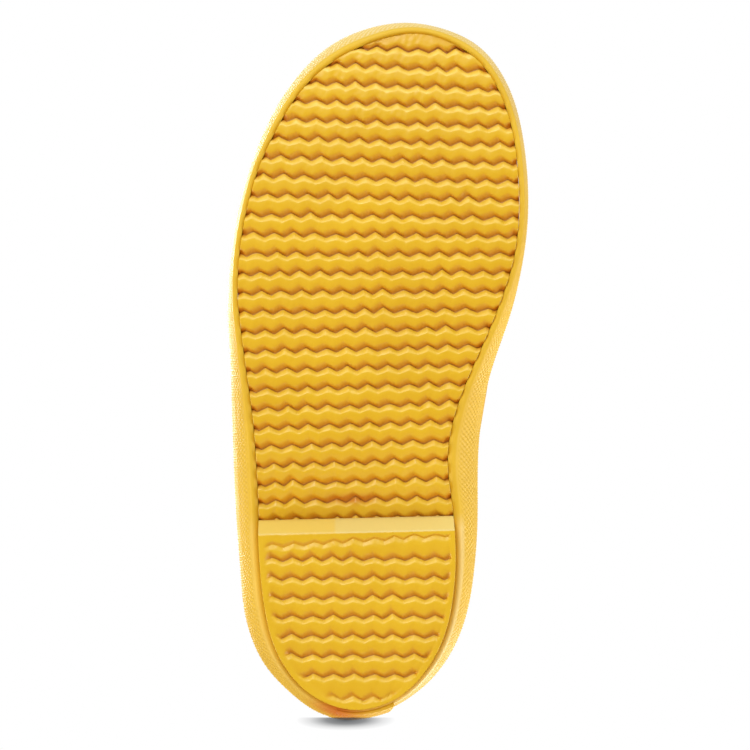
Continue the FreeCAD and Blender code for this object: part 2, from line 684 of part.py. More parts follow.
# --------------------------------------------------------------------------------------------------------
# Pull loop: doubled webbing sewn to the outside of the collar, its free end standing above the leg
# --------------------------------------------------------------------------------------------------------

anchor_outside = tool("anchor_outside", upper_solid(dim("overlay_thick") + 2 * dim("webbing_thick")))
anchor_zone = box(
    "anchor_zone", length="Dims.span / 4", width="Dims.webbing_width", height="Dims.anchor_length",
    x=behind_boot, y=f"({LEG_CENTRE_Y} - Dims.webbing_width / 2) * 1mm",
    z="(Dims.boot_top + Dims.overlay_thick - Dims.anchor_length) * 1mm",
)
anchor_blank = common("anchor_blank", anchor_outside, anchor_zone)
piece("loop_anchor", cut("anchor_body", anchor_blank, overlay_outside))

neck_radius = dim("webbing_thick")
hinge_x = station(dim("boot_top"))[0] - dim("overlay_thick") - dim("webbing_thick")
hinge_z = dim("boot_top") + dim("overlay_thick") + dim("loop_gap") + neck_radius


def teardrop(low_radius, low_z, top_radius, top_z):
    """A closed wire in the XZ plane round two circles centred on the Z axis, with straight sides."""
    lean = math.asin((top_radius - low_radius) / (top_z - low_z))

    def tangent_point(side, radius, z):
        return Vector(side * radius * math.cos(lean), 0, z - radius * math.sin(lean))

    low = [tangent_point(side, low_radius, low_z) for side in (-1, 1)]
    top = [tangent_point(side, top_radius, top_z) for side in (-1, 1)]
    crown = Part.Arc(top[0], Vector(0, 0, top_z + top_radius), top[1]).toShape()
    neck = Part.Arc(low[1], Vector(0, 0, low_z - low_radius), low[0]).toShape()
    return Part.Wire([Part.makeLine(low[0], top[0]), crown, Part.makeLine(top[1], low[1]), neck])


round_z = dim("loop_height") - dim("loop_round")
loop_outside = teardrop(neck_radius, 0.0, dim("loop_round"), round_z)
loop_hole = teardrop(0.3, 3.5, dim("loop_round") - dim("webbing_thick"), round_z)
loop_face = Part.Face(loop_outside).cut(Part.Face(loop_hole))

pull_loop = doc.addObject("Part::Extrusion", "pull_loop_body")
pull_loop.Base = tool("pull_loop_profile", loop_face)
pull_loop.DirMode = "Custom"
pull_loop.Dir = Vector(0, 1, 0)
pull_loop.Solid = True
pull_loop.Symmetric = True
pull_loop.setExpression("LengthFwd", "Dims.webbing_width * 1mm")
pull_loop.Placement = Placement(Vector(hinge_x, LEG_CENTRE_Y, hinge_z), Rotation())
piece("pull_loop", pull_loop)

doc.recompute()

# --------------------------------------------------------------------------------------------------------
# Check and export
# --------------------------------------------------------------------------------------------------------

for item in doc.Objects:
    if {"Invalid", "Error"} & set(item.State):
        raise RuntimeError(f"{item.Name} failed: {item.State}")

os.makedirs("parts", exist_ok=True)
for old in os.listdir("parts"):
    os.remove(os.path.join("parts", old))
for item in pieces:
    shape = item.Shape
    if shape.isNull() or not shape.isValid() or not shape.Solids:
        raise RuntimeError(f"{item.Label} has no valid solid")
    solids = Part.Compound(shape.Solids) if len(shape.Solids) > 1 else shape.Solids[0]
    solids.exportStep(os.path.join("parts", item.Label + ".step"))
    bb = solids.optimalBoundingBox(True)
    print(
        f"{item.Label:16s} {len(shape.Solids)} solid(s) {shape.Volume / 1000:8.2f} cm3  "
        f"x {bb.XMin:7.1f} {bb.XMax:7.1f}  y {bb.YMin:6.1f} {bb.YMax:6.1f}  z {bb.ZMin:6.1f} {bb.ZMax:6.1f}"
    )
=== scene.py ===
"""The finished look of a child's yellow rubber deck boot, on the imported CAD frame, seen from under its sole.

Lengths are in millimetres until MM turns them into metres. +X is the toe, +Y the inner side of the foot and +Z
up. The outlines, the sole line and the upper's stations repeat those of the CAD model.
"""

import math
from dataclasses import dataclass

import bmesh
import bpy
import numpy as np
from mathutils import Matrix, Vector


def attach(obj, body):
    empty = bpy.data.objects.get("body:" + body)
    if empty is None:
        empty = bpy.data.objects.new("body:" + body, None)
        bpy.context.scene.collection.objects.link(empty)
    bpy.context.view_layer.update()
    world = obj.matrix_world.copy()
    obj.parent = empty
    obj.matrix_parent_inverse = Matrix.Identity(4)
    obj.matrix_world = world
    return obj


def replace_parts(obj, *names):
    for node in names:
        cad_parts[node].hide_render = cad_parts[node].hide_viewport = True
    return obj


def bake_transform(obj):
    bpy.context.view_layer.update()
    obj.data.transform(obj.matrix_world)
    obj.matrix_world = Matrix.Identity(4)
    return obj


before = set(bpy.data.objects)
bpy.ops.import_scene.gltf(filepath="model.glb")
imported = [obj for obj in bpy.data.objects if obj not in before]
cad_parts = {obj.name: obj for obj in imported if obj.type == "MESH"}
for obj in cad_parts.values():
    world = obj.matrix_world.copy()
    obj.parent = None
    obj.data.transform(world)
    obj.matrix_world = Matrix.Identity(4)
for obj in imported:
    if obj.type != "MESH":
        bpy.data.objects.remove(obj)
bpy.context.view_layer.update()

MM = 0.001

# ---- Shape of the boot: outlines from above, the sole line, and the upper's stations

# Half outlines from the toe's tip to the heel's, as X and Y
FOXING_INNER = [
    (92.6, 7.2), (88, 24.4), (77, 33.9), (61, 38.5), (40, 39.6), (18.8, 36.1), (-2.4, 29.2), (-20, 26.6),
    (-45, 26.3), (-65.8, 23.3), (-80, 16), (-89, 4.6), (-92.4, -7.6),
]
FOXING_OUTER = [
    (92.6, 7.2), (88, -9.9), (77, -22), (61, -30.9), (40, -37.1), (18.8, -39.4), (0, -38.6), (-34, -37.6),
    (-52, -36.4), (-66, -34.9), (-78, -30), (-87.3, -20.9), (-91.2, -14.6), (-92.4, -7.6),
]
TREAD_INNER = [
    (88.5, 11), (83.4, 23.8), (75, 30.8), (62, 35.3), (44, 36.9), (28.8, 35.4), (14.8, 30.8), (4.4, 26.3),
    (-4.4, 22.5), (-13.5, 19.5), (-24, 18.2), (-38.2, 19.9), (-53.3, 20.2), (-67.5, 17.9), (-78, 12.6),
    (-85.5, 4.6), (-88.3, -6.5),
]
TREAD_OUTER = [
    (88.5, 11), (85.7, -2.4), (79.9, -13.1), (71.6, -21.2), (60.5, -27.6), (50.1, -31.9), (35.6, -35.3),
    (20.7, -36.4), (5.6, -34.9), (-14, -32.3), (-33, -31.2), (-47, -30.9), (-63, -29.2), (-74.6, -25.6),
    (-84, -17.8), (-88.3, -6.5),
]

WAIST_FRONT, WAIST_BACK, HEEL_LIFT = -6.0, -50.0, 6.5
SPRING_START, TOE_SPRING, HALF_LENGTH = 28.0, 7.5, 92.0
OUTSOLE_THICK, TREAD_DEPTH = 4.5, 2.0


def eased(share):
    """A share from 0 to 1 that starts and ends gently."""
    return share * share * (3 - 2 * share)


def spot(*away):
    """A soft spot, 1 in its middle, for distances from there as shares of the spot's size."""
    return np.exp(-sum(distance**2 for distance in away))


def smooth_loop(inner, outer, samples=3600):
    """A dense closed polyline through two half outlines that share their ends, evenly spaced and smoothed."""
    points = np.array(inner + outer[-2:0:-1], float)
    n = len(points)
    before, after, beyond = (np.roll(points, s, axis=0) for s in (1, -1, -2))
    t = np.linspace(0, 1, 60, endpoint=False)[:, None]
    arcs = []
    for i in range(n):
        p0, p1, p2, p3 = before[i], points[i], after[i], beyond[i]
        arcs.append(0.5 * (2 * p1 + (p2 - p0) * t + (2 * p0 - 5 * p1 + 4 * p2 - p3) * t**2
                           + (3 * p1 - p0 - 3 * p2 + p3) * t**3))
    dense = np.vstack(arcs)
    step = np.hypot(*(np.roll(dense, -1, axis=0) - dense).T)
    length = np.concatenate([[0], np.cumsum(step)])
    at = np.linspace(0, length[-1], samples, endpoint=False)
    loop = np.stack([np.interp(at, length, np.append(dense[:, k], dense[0, k])) for k in (0, 1)], axis=1)
    reach = samples // 60
    weights = np.hanning(2 * reach + 1)
    weights /= weights.sum()
    padded = np.vstack([loop[-reach:], loop, loop[:reach]])
    return np.stack([np.convolve(padded[:, k], weights, mode="valid") for k in (0, 1)], axis=1)


class Outline:
    """A closed outline, as Y on its inner side (+1) and Y on its outer side (-1) for each X."""

    def __init__(self, inner, outer):
        loop = smooth_loop(inner, outer)
        loop = np.roll(loop, -int(loop[:, 0].argmax()), axis=0)
        heel = int(loop[:, 0].argmin())
        self.front, self.back = loop[0, 0], loop[heel, 0]
        self.toe_y, self.heel_y = loop[0, 1], loop[heel, 1]
        self.halves = {1: loop[: heel + 1][::-1], -1: np.vstack([loop[heel:], loop[:1]])}

    def y(self, along, side):
        """Y at a share of the outline's length, 0 at the heel and 1 at the toe, for one side or many."""
        x = self.back + (self.front - self.back) * np.asarray(along, float)
        inner, outer = (np.interp(x, half[:, 0], half[:, 1]) for half in (self.halves[1], self.halves[-1]))
        return np.where(np.asarray(side) > 0, inner, outer)

    def narrowed(self, along, side, width):
        """Y at a share of the outline's length, drawn in to a share of the width about its middle line."""
        middle = self.heel_y + (self.toe_y - self.heel_y) * along
        return middle + (self.y(along, side) - middle) * width

    def at(self, angle):
        """The outline's points at angles from the toe's tip, round by the inner side."""
        along, side = (1 + np.cos(angle)) / 2, np.where(np.sin(angle) >= 0, 1, -1)
        return self.back + (self.front - self.back) * along, self.y(along, side)


foxing_outline = Outline(FOXING_INNER, FOXING_OUTER)
tread_outline = Outline(TREAD_INNER, TREAD_OUTER)


def arc_radius(run, rise):
    """Radius of an arc that leaves the level and climbs rise over run."""
    return (run * run + rise * rise) / (2 * rise)


def sole_line(x):
    """Height of the tread's lands: level at the heel, an S-curve to the ball, level, then the toe spring."""
    x = np.asarray(x, float)
    half_run = (WAIST_FRONT - WAIST_BACK) / 2
    waist = arc_radius(half_run, HEEL_LIFT / 2)
    toe = arc_radius(HALF_LENGTH - SPRING_START, TOE_SPRING)
    spring = toe - np.sqrt(np.clip(toe**2 - np.clip(x - SPRING_START, 0, None) ** 2, 0, None))
    low = waist - np.sqrt(waist**2 - np.clip(WAIST_FRONT - x, 0, half_run) ** 2)
    high = HEEL_LIFT - waist + np.sqrt(waist**2 - np.clip(x - WAIST_BACK, 0, half_run) ** 2)
    return np.where(x > SPRING_START, spring, np.where(x > WAIST_FRONT - half_run, low, high))


# Height, rearmost X, foremost X, share of the tread outline, width against the outlines, share of the leg's oval,
# and the oval's half width
STATIONS = np.array([
    (-9, -85.5, 85.5, 1.00, 0.90, 0.00, 31.0),
    (3, -86.2, 86.6, 0.85, 0.92, 0.00, 31.0),
    (8, -88.2, 88.6, 0.45, 0.93, 0.00, 31.0),
    (14, -89.8, 90.0, 0.10, 0.945, 0.00, 31.0),
    (20, -90.2, 90.2, 0.00, 0.945, 0.00, 31.0),
    (27, -90.1, 88.0, 0.00, 0.94, 0.00, 31.0),
    (33, -89.6, 82.8, 0.00, 0.92, 0.02, 30.5),
    (38, -88.8, 75.8, 0.00, 0.90, 0.05, 30.2),
    (43, -87.8, 66.2, 0.00, 0.88, 0.10, 30.0),
    (48, -86.8, 54.4, 0.00, 0.86, 0.17, 30.0),
    (54, -85.7, 40.6, 0.00, 0.85, 0.27, 30.0),
    (62, -84.6, 27.2, 0.00, 0.84, 0.43, 30.0),
    (72, -83.7, 16.0, 0.00, 0.84, 0.64, 30.2),
    (84, -83.1, 8.4, 0.00, 0.84, 0.84, 30.7),
    (100, -82.8, 4.0, 0.00, 0.84, 0.97, 31.4),
    (120, -82.8, 2.4, 0.00, 0.84, 1.00, 32.2),
    (150, -83.0, 3.0, 0.00, 0.84, 1.00, 33.2),
    (180, -83.3, 4.6, 0.00, 0.84, 1.00, 34.0),
    (204, -83.5, 6.0, 0.00, 0.84, 1.00, 34.5),
], float)
LEG_CENTRE_Y = -4.2
BOOT_TOP = 190.0
WARP_FULL, WARP_END = 26.0, 66.0


def smooth_table(table, reach=2.5, step=0.5):
    """A table of stations resampled every step of height, with its corners smoothed over reach."""
    heights = np.arange(table[0, 0], table[-1, 0] + step / 2, step)
    half = int(reach / step)
    weights = np.hanning(2 * half + 3)[1:-1]
    weights /= weights.sum()
    columns = [heights]
    for k in range(1, table.shape[1]):
        values = np.interp(heights, table[:, 0], table[:, k])
        for _ in range(3):
            padded = np.concatenate([np.full(half, values[0]), values, np.full(half, values[-1])])
            values = np.convolve(padded, weights, mode="valid")
        columns.append(values)
    return np.stack(columns, axis=1)


STATION_CURVES = smooth_table(STATIONS)


def upper_point(angle, z):
    """Points of the rubber upper's outer surface. angle and z are arrays of one shape."""
    back, front, tread_share, width, leg_share, leg_half = (
        np.interp(z, STATION_CURVES[:, 0], STATION_CURVES[:, k]) for k in range(1, 7)
    )
    along = (1 + np.cos(angle)) / 2
    side = np.where(np.sin(angle) >= 0, 1, -1)
    x = back + (front - back) * along
    foot, tread = (outline.narrowed(along, side, width) for outline in (foxing_outline, tread_outline))
    foot = foot + (tread - foot) * tread_share
    leg = LEG_CENTRE_Y + side * leg_half * np.sqrt(np.clip(1 - (2 * along - 1) ** 2, 0, None))
    y = foot + (leg - foot) * leg_share
    t = np.clip((z - WARP_FULL) / (WARP_END - WARP_FULL), 0, 1)
    fade = np.where(z < 0, np.clip(1 + z / 6, 0, 1), 1 - eased(t))
    return np.stack([x, y, z + sole_line(x) * fade], axis=-1)


def upper_surface(angle, z, outwards=0.0):
    """Points that stand off the upper's surface along its normal."""
    angle, z, outwards = np.broadcast_arrays(*(np.asarray(a, float) for a in (angle, z, outwards)))
    step = 0.01
    around = upper_point(angle + step, z) - upper_point(angle - step, z)
    up = upper_point(angle, z + 1.0) - upper_point(angle, z - 1.0)
    normal = np.cross(around, up)
    normal /= np.linalg.norm(normal, axis=-1, keepdims=True)
    return upper_point(angle, z) + normal * (outwards + softness(angle, z))[..., None]


# Soft folds of the rubber leg: angle from the front, height, half width round the leg, half height, and depth
FOLDS = [
    (0.0, 96.0, 1.15, 5.5, -1.5), (0.10, 84.5, 1.3, 5.0, 0.55), (-0.25, 108.0, 0.9, 6.0, 0.5),
    (3.10, 88.0, 0.9, 5.0, -1.0), (3.25, 99.0, 0.8, 6.0, 0.4), (1.7, 112.0, 0.8, 9.0, -0.7),
    (-1.5, 120.0, 0.9, 10.0, -0.7),
]


def softness(angle, z):
    """How far the limp rubber stands off its moulded shape: folds and slow waves, none near its ends."""
    turn = np.stack([np.cos(angle), np.sin(angle), z / 26.0], axis=-1)
    free = np.clip((z - 30) / 25, 0, 1) * np.clip((182 - z) / 14, 0, 1)
    total = 0.35 * noise(turn, 1.1, seed=21)
    for middle, height, wide, tall, depth in FOLDS:
        away = (angle - middle + math.pi) % math.tau - math.pi
        lean = height + 4.0 * np.abs(away)
        total = total + depth * spot(away / wide, (z - lean) / tall)
    return total * free


# ---- Mesh helpers


def noise(points, size, seed=0):
    """Smooth noise from about -1 to 1 with features about size across, the same on every run."""
    rng = np.random.default_rng(seed)
    points = np.asarray(points, float) / size
    total = np.zeros(points.shape[:-1])
    for _ in range(10):
        direction = rng.normal(size=points.shape[-1])
        direction *= rng.uniform(0.6, 1.5) * math.tau / 2 / np.linalg.norm(direction)
        total += np.sin(points @ direction + rng.uniform(0, math.tau))
    return total / 4.0


def new_piece(name, vertices, faces, material):
    """A mesh object from points in millimetres."""
    mesh = bpy.data.meshes.new(name)
    mesh.from_pydata((np.asarray(vertices, float) * MM).tolist(), [], [tuple(map(int, f)) for f in faces])
    mesh.validate()
    mesh.update()
    mesh.shade_smooth()
    piece = bpy.data.objects.new(name, mesh)
    bpy.context.scene.collection.objects.link(piece)
    piece.data.materials.append(material)
    return piece


def grid_faces(rows, columns, closed_columns=False, closed_rows=False, start=0, flip=False):
    """Quads over a grid of vertices numbered row by row."""
    r = np.arange(rows if closed_rows else rows - 1)
    c = np.arange(columns if closed_columns else columns - 1)
    i, j = np.meshgrid(r, c, indexing="ij")
    i2, j2 = (i + 1) % rows, (j + 1) % columns
    corners = [i * columns + j, i * columns + j2, i2 * columns + j2, i2 * columns + j]
    quads = np.stack(corners, axis=-1).reshape(-1, 4)
    return (quads[:, ::-1] if flip else quads) + start


def ring_solid(name, sections, material):
    """A solid from an array of sections (around, points of a closed section, 3) that also closes around."""
    around, section = sections.shape[:2]
    faces = grid_faces(around, section, closed_columns=True, closed_rows=True)
    return new_piece(name, sections.reshape(-1, 3), faces, material)


def tube_solid(name, sections, material):
    """A solid from an array of sections (along, points of a closed section, 3), closed at both ends."""
    along, section = sections.shape[:2]
    faces = list(map(tuple, grid_faces(along, section, closed_columns=True)))
    faces += [tuple(range(section)), tuple(range((along - 1) * section, along * section))[::-1]]
    return new_piece(name, sections.reshape(-1, 3), faces, material)


def patch_solid(name, outside, inside, material):
    """A closed slab between two grids of the same shape, joined along their four edges."""
    rows, columns = outside.shape[:2]
    count = rows * columns
    faces = [grid_faces(rows, columns), grid_faces(rows, columns, start=count, flip=True)]
    index = np.arange(count).reshape(rows, columns)
    rim = np.concatenate([index[0, :-1], index[:-1, -1], index[-1, :0:-1], index[:0:-1, 0]])
    nxt = np.roll(rim, -1)
    faces.append(np.stack([nxt, rim, rim + count, nxt + count], axis=1))
    vertices = np.vstack([outside.reshape(-1, 3), inside.reshape(-1, 3)])
    return new_piece(name, vertices, np.vstack(faces), material)


def carry(piece, name, values):
    """Gives a mesh a value at each of its points."""
    layer = piece.data.attributes.new(name, "FLOAT", "POINT")
    layer.data.foreach_set("value", np.asarray(values, np.float32).ravel())
    return piece


def face_outwards(piece):
    """Turns every face of a closed mesh outwards."""
    work = bmesh.new()
    work.from_mesh(piece.data)
    bmesh.ops.recalc_face_normals(work, faces=work.faces)
    if work.calc_volume(signed=True) < 0:
        bmesh.ops.reverse_faces(work, faces=work.faces)
    work.to_mesh(piece.data)
    work.free()
    piece.data.update()
    piece.data.shade_smooth()
    return piece


def rounded(distance, radius):
    """Share of full height at a distance from an edge that is rounded over with this radius."""
    t = np.clip(np.asarray(distance, float) / radius, 0, 1)
    return np.sqrt(np.clip(1 - (1 - t) ** 2, 0, 1))


# ---- Materials


class Nodes:
    """Short calls for building a material's node tree."""

    def __init__(self, name):
        self.material = bpy.data.materials.new(name)
        self.material.use_nodes = True
        self.tree = self.material.node_tree
        self.shader = next(n for n in self.tree.nodes if n.type == "BSDF_PRINCIPLED")
        self.place = self.add("ShaderNodeTexCoord").outputs["Object"]

    def add(self, kind, **settings):
        node = self.tree.nodes.new(kind)
        for key, value in settings.items():
            setattr(node, key, value)
        return node

    def link(self, source, target):
        self.tree.links.new(source, target)

    def texture(self, kind, values, **settings):
        node = self.add("ShaderNodeTex" + kind, **settings)
        for key, value in values.items():
            node.inputs[key].default_value = value
        self.link(self.place, node.inputs["Vector"])
        return node.outputs

    def noise(self, scale, detail):
        return self.texture("Noise", {"Scale": scale, "Detail": detail, "Roughness": 0.55})["Fac"]

    def ramp(self, value, *stops):
        node = self.add("ShaderNodeValToRGB")
        elements = node.color_ramp.elements
        while len(elements) < len(stops):
            elements.new(0.5)
        for element, (position, colour) in zip(elements, stops):
            element.position = position
            element.color = (*colour, 1.0) if not isinstance(colour, float) else (colour, colour, colour, 1.0)
        self.link(value, node.inputs["Fac"])
        return node.outputs["Color"]

    def bump(self, height, strength, distance, under=None):
        node = self.add("ShaderNodeBump")
        node.inputs["Strength"].default_value = strength
        node.inputs["Distance"].default_value = distance
        self.link(height, node.inputs["Height"])
        if under is not None:
            self.link(under, node.inputs["Normal"])
        return node.outputs["Normal"]

    def set(self, **values):
        for key, value in values.items():
            self.shader.inputs[key.replace("_", " ")].default_value = value


def rubber(name, deep, pale, roughness, grain=0.12, ripple=0.18, tints=()):
    """Moulded rubber: slow colour changes, a fine grain, and a soft sheen that varies with handling. Each tint
    is a value that the mesh carries at its points, and the colour that the rubber takes by that value."""
    m = Nodes(name)
    colour = m.ramp(m.noise(38.0, detail=5.0), (0.30, deep), (0.72, pale))
    for value, tint in tints:
        mix = m.add("ShaderNodeMix", data_type="RGBA")
        factor, before, after = (next(i for i in mix.inputs if i.identifier == k)
                                 for k in ("Factor_Float", "A_Color", "B_Color"))
        m.link(m.add("ShaderNodeAttribute", attribute_name=value).outputs["Fac"], factor)
        m.link(colour, before)
        after.default_value = (*tint, 1.0)
        colour = next(o for o in mix.outputs if o.identifier == "Result_Color")
    m.link(colour, m.shader.inputs["Base Color"])
    sheen = m.ramp(m.noise(110.0, detail=3.0), (0.3, roughness[0]), (0.7, roughness[1]))
    m.link(sheen, m.shader.inputs["Roughness"])
    fine = m.bump(m.noise(2600.0, detail=2.0), grain, 0.0001)
    m.link(m.bump(m.noise(190.0, detail=3.0), ripple, 0.0004, under=fine), m.shader.inputs["Normal"])
    m.set(Specular_IOR_Level=0.45)
    return m.material


def knit(name, deep, pale):
    """Fine knitted cloth: rows of small stitches."""
    m = Nodes(name)
    bands = {"Scale": 150.0, "Distortion": 2.0, "Detail Scale": 6.0}
    rows = m.texture("Wave", bands, bands_direction="Z")["Fac"]
    stitches = m.texture("Voronoi", {"Scale": 900.0})["Distance"]
    m.link(m.ramp(stitches, (0.1, pale), (0.8, deep)), m.shader.inputs["Base Color"])
    m.link(m.bump(rows, 0.4, 0.0003, under=m.bump(stitches, 0.5, 0.0004)), m.shader.inputs["Normal"])
    m.set(Roughness=0.9, Specular_IOR_Level=0.25, Sheen_Weight=0.3)
    return m.material


THREAD_PITCH = 0.0011


def woven(name, deep, pale):
    """Webbing: a diagonal over-and-under of threads."""
    m = Nodes(name)
    bands = {"Scale": 1.0 / THREAD_PITCH / 3.2, "Distortion": 0.6}
    threads = m.texture("Wave", bands, bands_direction="DIAGONAL")["Fac"]
    m.link(m.ramp(threads, (0.2, deep), (0.8, pale)), m.shader.inputs["Base Color"])
    m.link(m.bump(threads, 0.5, 0.0003), m.shader.inputs["Normal"])
    m.set(Roughness=0.8, Specular_IOR_Level=0.3, Sheen_Weight=0.25)
    return m.material


def plain(name, deep, pale, scale, roughness, metallic=0.0, bump=0.2):
    """A hidden part's simple material: speckled colour and a little grain."""
    m = Nodes(name)
    speckle = m.noise(scale, detail=6.0)
    m.link(m.ramp(speckle, (0.35, deep), (0.65, pale)), m.shader.inputs["Base Color"])
    m.link(m.bump(speckle, bump, 0.0003), m.shader.inputs["Normal"])
    m.set(Roughness=roughness, Metallic=metallic)
    return m.material


# The tread's tints are partly painted light: groove is painted shade on the walls that face the heel and in the
# edge notches, and an old stain too; crest is a painted highlight on the slopes that face the toe; line is
# painted shade at the bottom of each groove.
tread_rubber = rubber(
    "tread_rubber", (0.76, 0.475, 0.012), (0.84, 0.545, 0.017), roughness=(0.34, 0.46), ripple=0.5,
    tints=[("groove", (0.62, 0.22, 0.008)), ("crest", (1.0, 0.75, 0.17)), ("line", (0.34, 0.10, 0.003))],
)
# The breast's rubber is paler and less saturated than the tread's, a painted highlight of the light on that
# facet; its tint keeps the breast's outer end a deeper yellow.
breast_highlight_rubber = rubber(
    "breast_highlight_rubber", (0.79, 0.62, 0.185), (0.85, 0.68, 0.215), roughness=(0.3, 0.4),
    tints=[("tone", (0.82, 0.60, 0.12))],
)
# The foxing's tints: tip is a painted highlight on the knurl points and painted light beside the heel block; the
# second is painted orange shade low at the back of the heel.
foxing_rubber = rubber(
    "foxing_rubber", (0.76, 0.48, 0.024), (0.84, 0.55, 0.030), roughness=(0.5, 0.65),
    tints=[("tip", (1.0, 0.86, 0.50)), ("heel_painted_shade", (0.66, 0.17, 0.010))],
)
upper_rubber = rubber(
    "upper_rubber", (0.79, 0.44, 0.02), (0.85, 0.50, 0.028), roughness=(0.30, 0.42), grain=0.05,
)
lining_knit = knit("lining_knit", (0.55, 0.52, 0.42), (0.78, 0.75, 0.66))
webbing_weave = woven("webbing_weave", (0.62, 0.36, 0.02), (0.84, 0.52, 0.04))
thread = plain("thread", (0.80, 0.55, 0.12), (0.88, 0.64, 0.2), 4000.0, 0.6)
sponge = plain("sponge", (0.20, 0.17, 0.12), (0.30, 0.26, 0.19), 1500.0, 0.9, bump=0.5)
fibreboard = plain("fibreboard", (0.28, 0.20, 0.12), (0.40, 0.30, 0.19), 900.0, 0.85)
foam = plain("foam", (0.60, 0.57, 0.48), (0.72, 0.69, 0.6), 1800.0, 0.9)
stiffener = plain("stiffener_sheet", (0.52, 0.48, 0.38), (0.62, 0.58, 0.48), 700.0, 0.6)
steel = plain("spring_steel", (0.42, 0.43, 0.45), (0.55, 0.56, 0.58), 300.0, 0.35, metallic=1.0, bump=0.05)

for node, material in {
    "lining": lining_knit, "footbed_cover": lining_knit, "footbed": foam, "midsole": sponge,
    "insole_board": fibreboard, "shank": steel, "toe_puff": stiffener, "heel_counter": stiffener,
}.items():
    for material_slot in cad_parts[node].material_slots:
        material_slot.material = material

# ---- Tread: ribs between zigzag grooves, as lines across the boot that follow the zigzags

ZIGZAG_PERIOD, CRISPNESS, GROOVE_SAG = 5.28, 0.985, 0.16
CREST_SHARE, WALL_SHARE = 0.30, 0.80
RIB_SHARES = (0.0, 0.05, 0.11, 0.17, 0.23, 0.28, 0.33, 0.40, 0.50, 0.60, 0.70, 0.77, 0.82, 0.88, 0.94)


def zigzag(y):
    """A triangle wave from -1 to 1 across the boot with rounded corners, at its top where y is 0."""
    return np.arcsin(CRISPNESS * np.cos(math.tau * y / ZIGZAG_PERIOD)) / math.asin(CRISPNESS)


@dataclass
class Grooves:
    """The zigzag grooves of one tread: where each runs, and the lines and depths of the ribs between them."""

    first: float          # X of the groove nearest the toe
    pitch: float
    rows: int
    last_gap: float       # added before the last groove
    swing: float          # how far the zigzag swings at the groove's bottom, the crest and the wall's top
    crest_swing: float
    wall_swing: float
    skew: float           # sideways shift of the wall's zigzag
    crest: float          # width of the slope that faces the toe, and of the wall that faces the heel
    wall: float
    depth: float
    seed: int
    course: list          # X along the boot, tilt of the rows in degrees, sideways drift of their zigzags

    def groove(self, number, y):
        """X of a groove's bottom at y, without its zigzag, and the zigzag's wave there."""
        x = self.first - number * self.pitch - self.last_gap * np.clip(number - self.rows + 2, 0, 1)
        along, *course = zip(*self.course)
        tilt, drift = (np.interp(x, along, column) for column in course)
        place = np.stack([x + 0 * y, y + 0 * x], -1)
        wander, ragged = noise(place, 9.0, seed=self.seed), noise(place, 1.6, seed=self.seed + 50)
        wave = zigzag(y - drift + 0.28 * wander) * (1 + 0.20 * wander + 0.14 * ragged)
        return x - np.tan(np.radians(tilt)) * y + 0.14 * wander + 0.07 * ragged, wave

    def line(self, number, share, y, fade):
        """X and depth of the line a share of the way from one groove to the next. fade shrinks its zigzag."""
        here, wave = self.groove(number, y)
        beyond, next_wave = self.groove(number + 1, y)
        lip_wave = self.groove(number + 1, y + self.skew)[1]
        here, beyond = here + self.swing * wave * fade, beyond + self.swing * next_wave * fade
        gap = here - beyond
        crest = self.crest + (self.swing - self.crest_swing) * wave * fade
        wall = gap - self.wall - (self.wall_swing * lip_wave - self.swing * next_wave) * fade
        step = np.interp(share, (0, CREST_SHARE, WALL_SHARE, 1), (0, 1, 2, 3))
        if step < 1:
            return here - step * crest, self.depth * (1 - step) ** 1.15
        if step < 2:
            return here - crest - (step - 1) * (wall - crest), GROOVE_SAG * (step - 1) ** 2
        depth = GROOVE_SAG + (self.depth - GROOVE_SAG) * (step - 2) ** 1.1
        return here - wall - (step - 2) * (gap - wall), depth


COLUMNS, FADE_WIDTH = 222, 1.6


def tread_lines(lines):
    """Grids of X, Y and depth from lines, each a function of Y and of a fade towards the line's ends."""
    xs, ys, depths = [], [], []
    share = np.linspace(0, 1, COLUMNS)
    heel, length = tread_outline.back, tread_outline.front - tread_outline.back
    for line in lines:
        ends = np.array([0.0, 0.0])
        for _ in range(6):
            x_ends = line(ends, np.zeros(2))[0] + np.zeros(2)
            ends = tread_outline.y(np.clip((x_ends - heel) / length, 0.0005, 0.9995), np.array([-1, 1]))
        y = ends[0] + (ends[1] - ends[0]) * share
        fade = np.clip(np.minimum(y - ends[0], ends[1] - y) / FADE_WIDTH, 0, 1)
        x, depth = line(y, eased(fade))
        xs.append(x + np.zeros(COLUMNS))
        ys.append(y)
        depths.append(depth + np.zeros(COLUMNS))
    return np.array(xs), np.array(ys), np.array(depths)


def edge_distance(x, y):
    """Distance inwards from the tread's outline."""
    loop = np.vstack([tread_outline.halves[1], tread_outline.halves[-1]])[::12]
    best = np.full(x.shape, 1e9)
    for px, py in loop:
        best = np.minimum(best, np.hypot(x - px, y - py))
    return best


STAIN, STAIN_SIZE = (-33.6, -6.6), (1.2, 5.6)


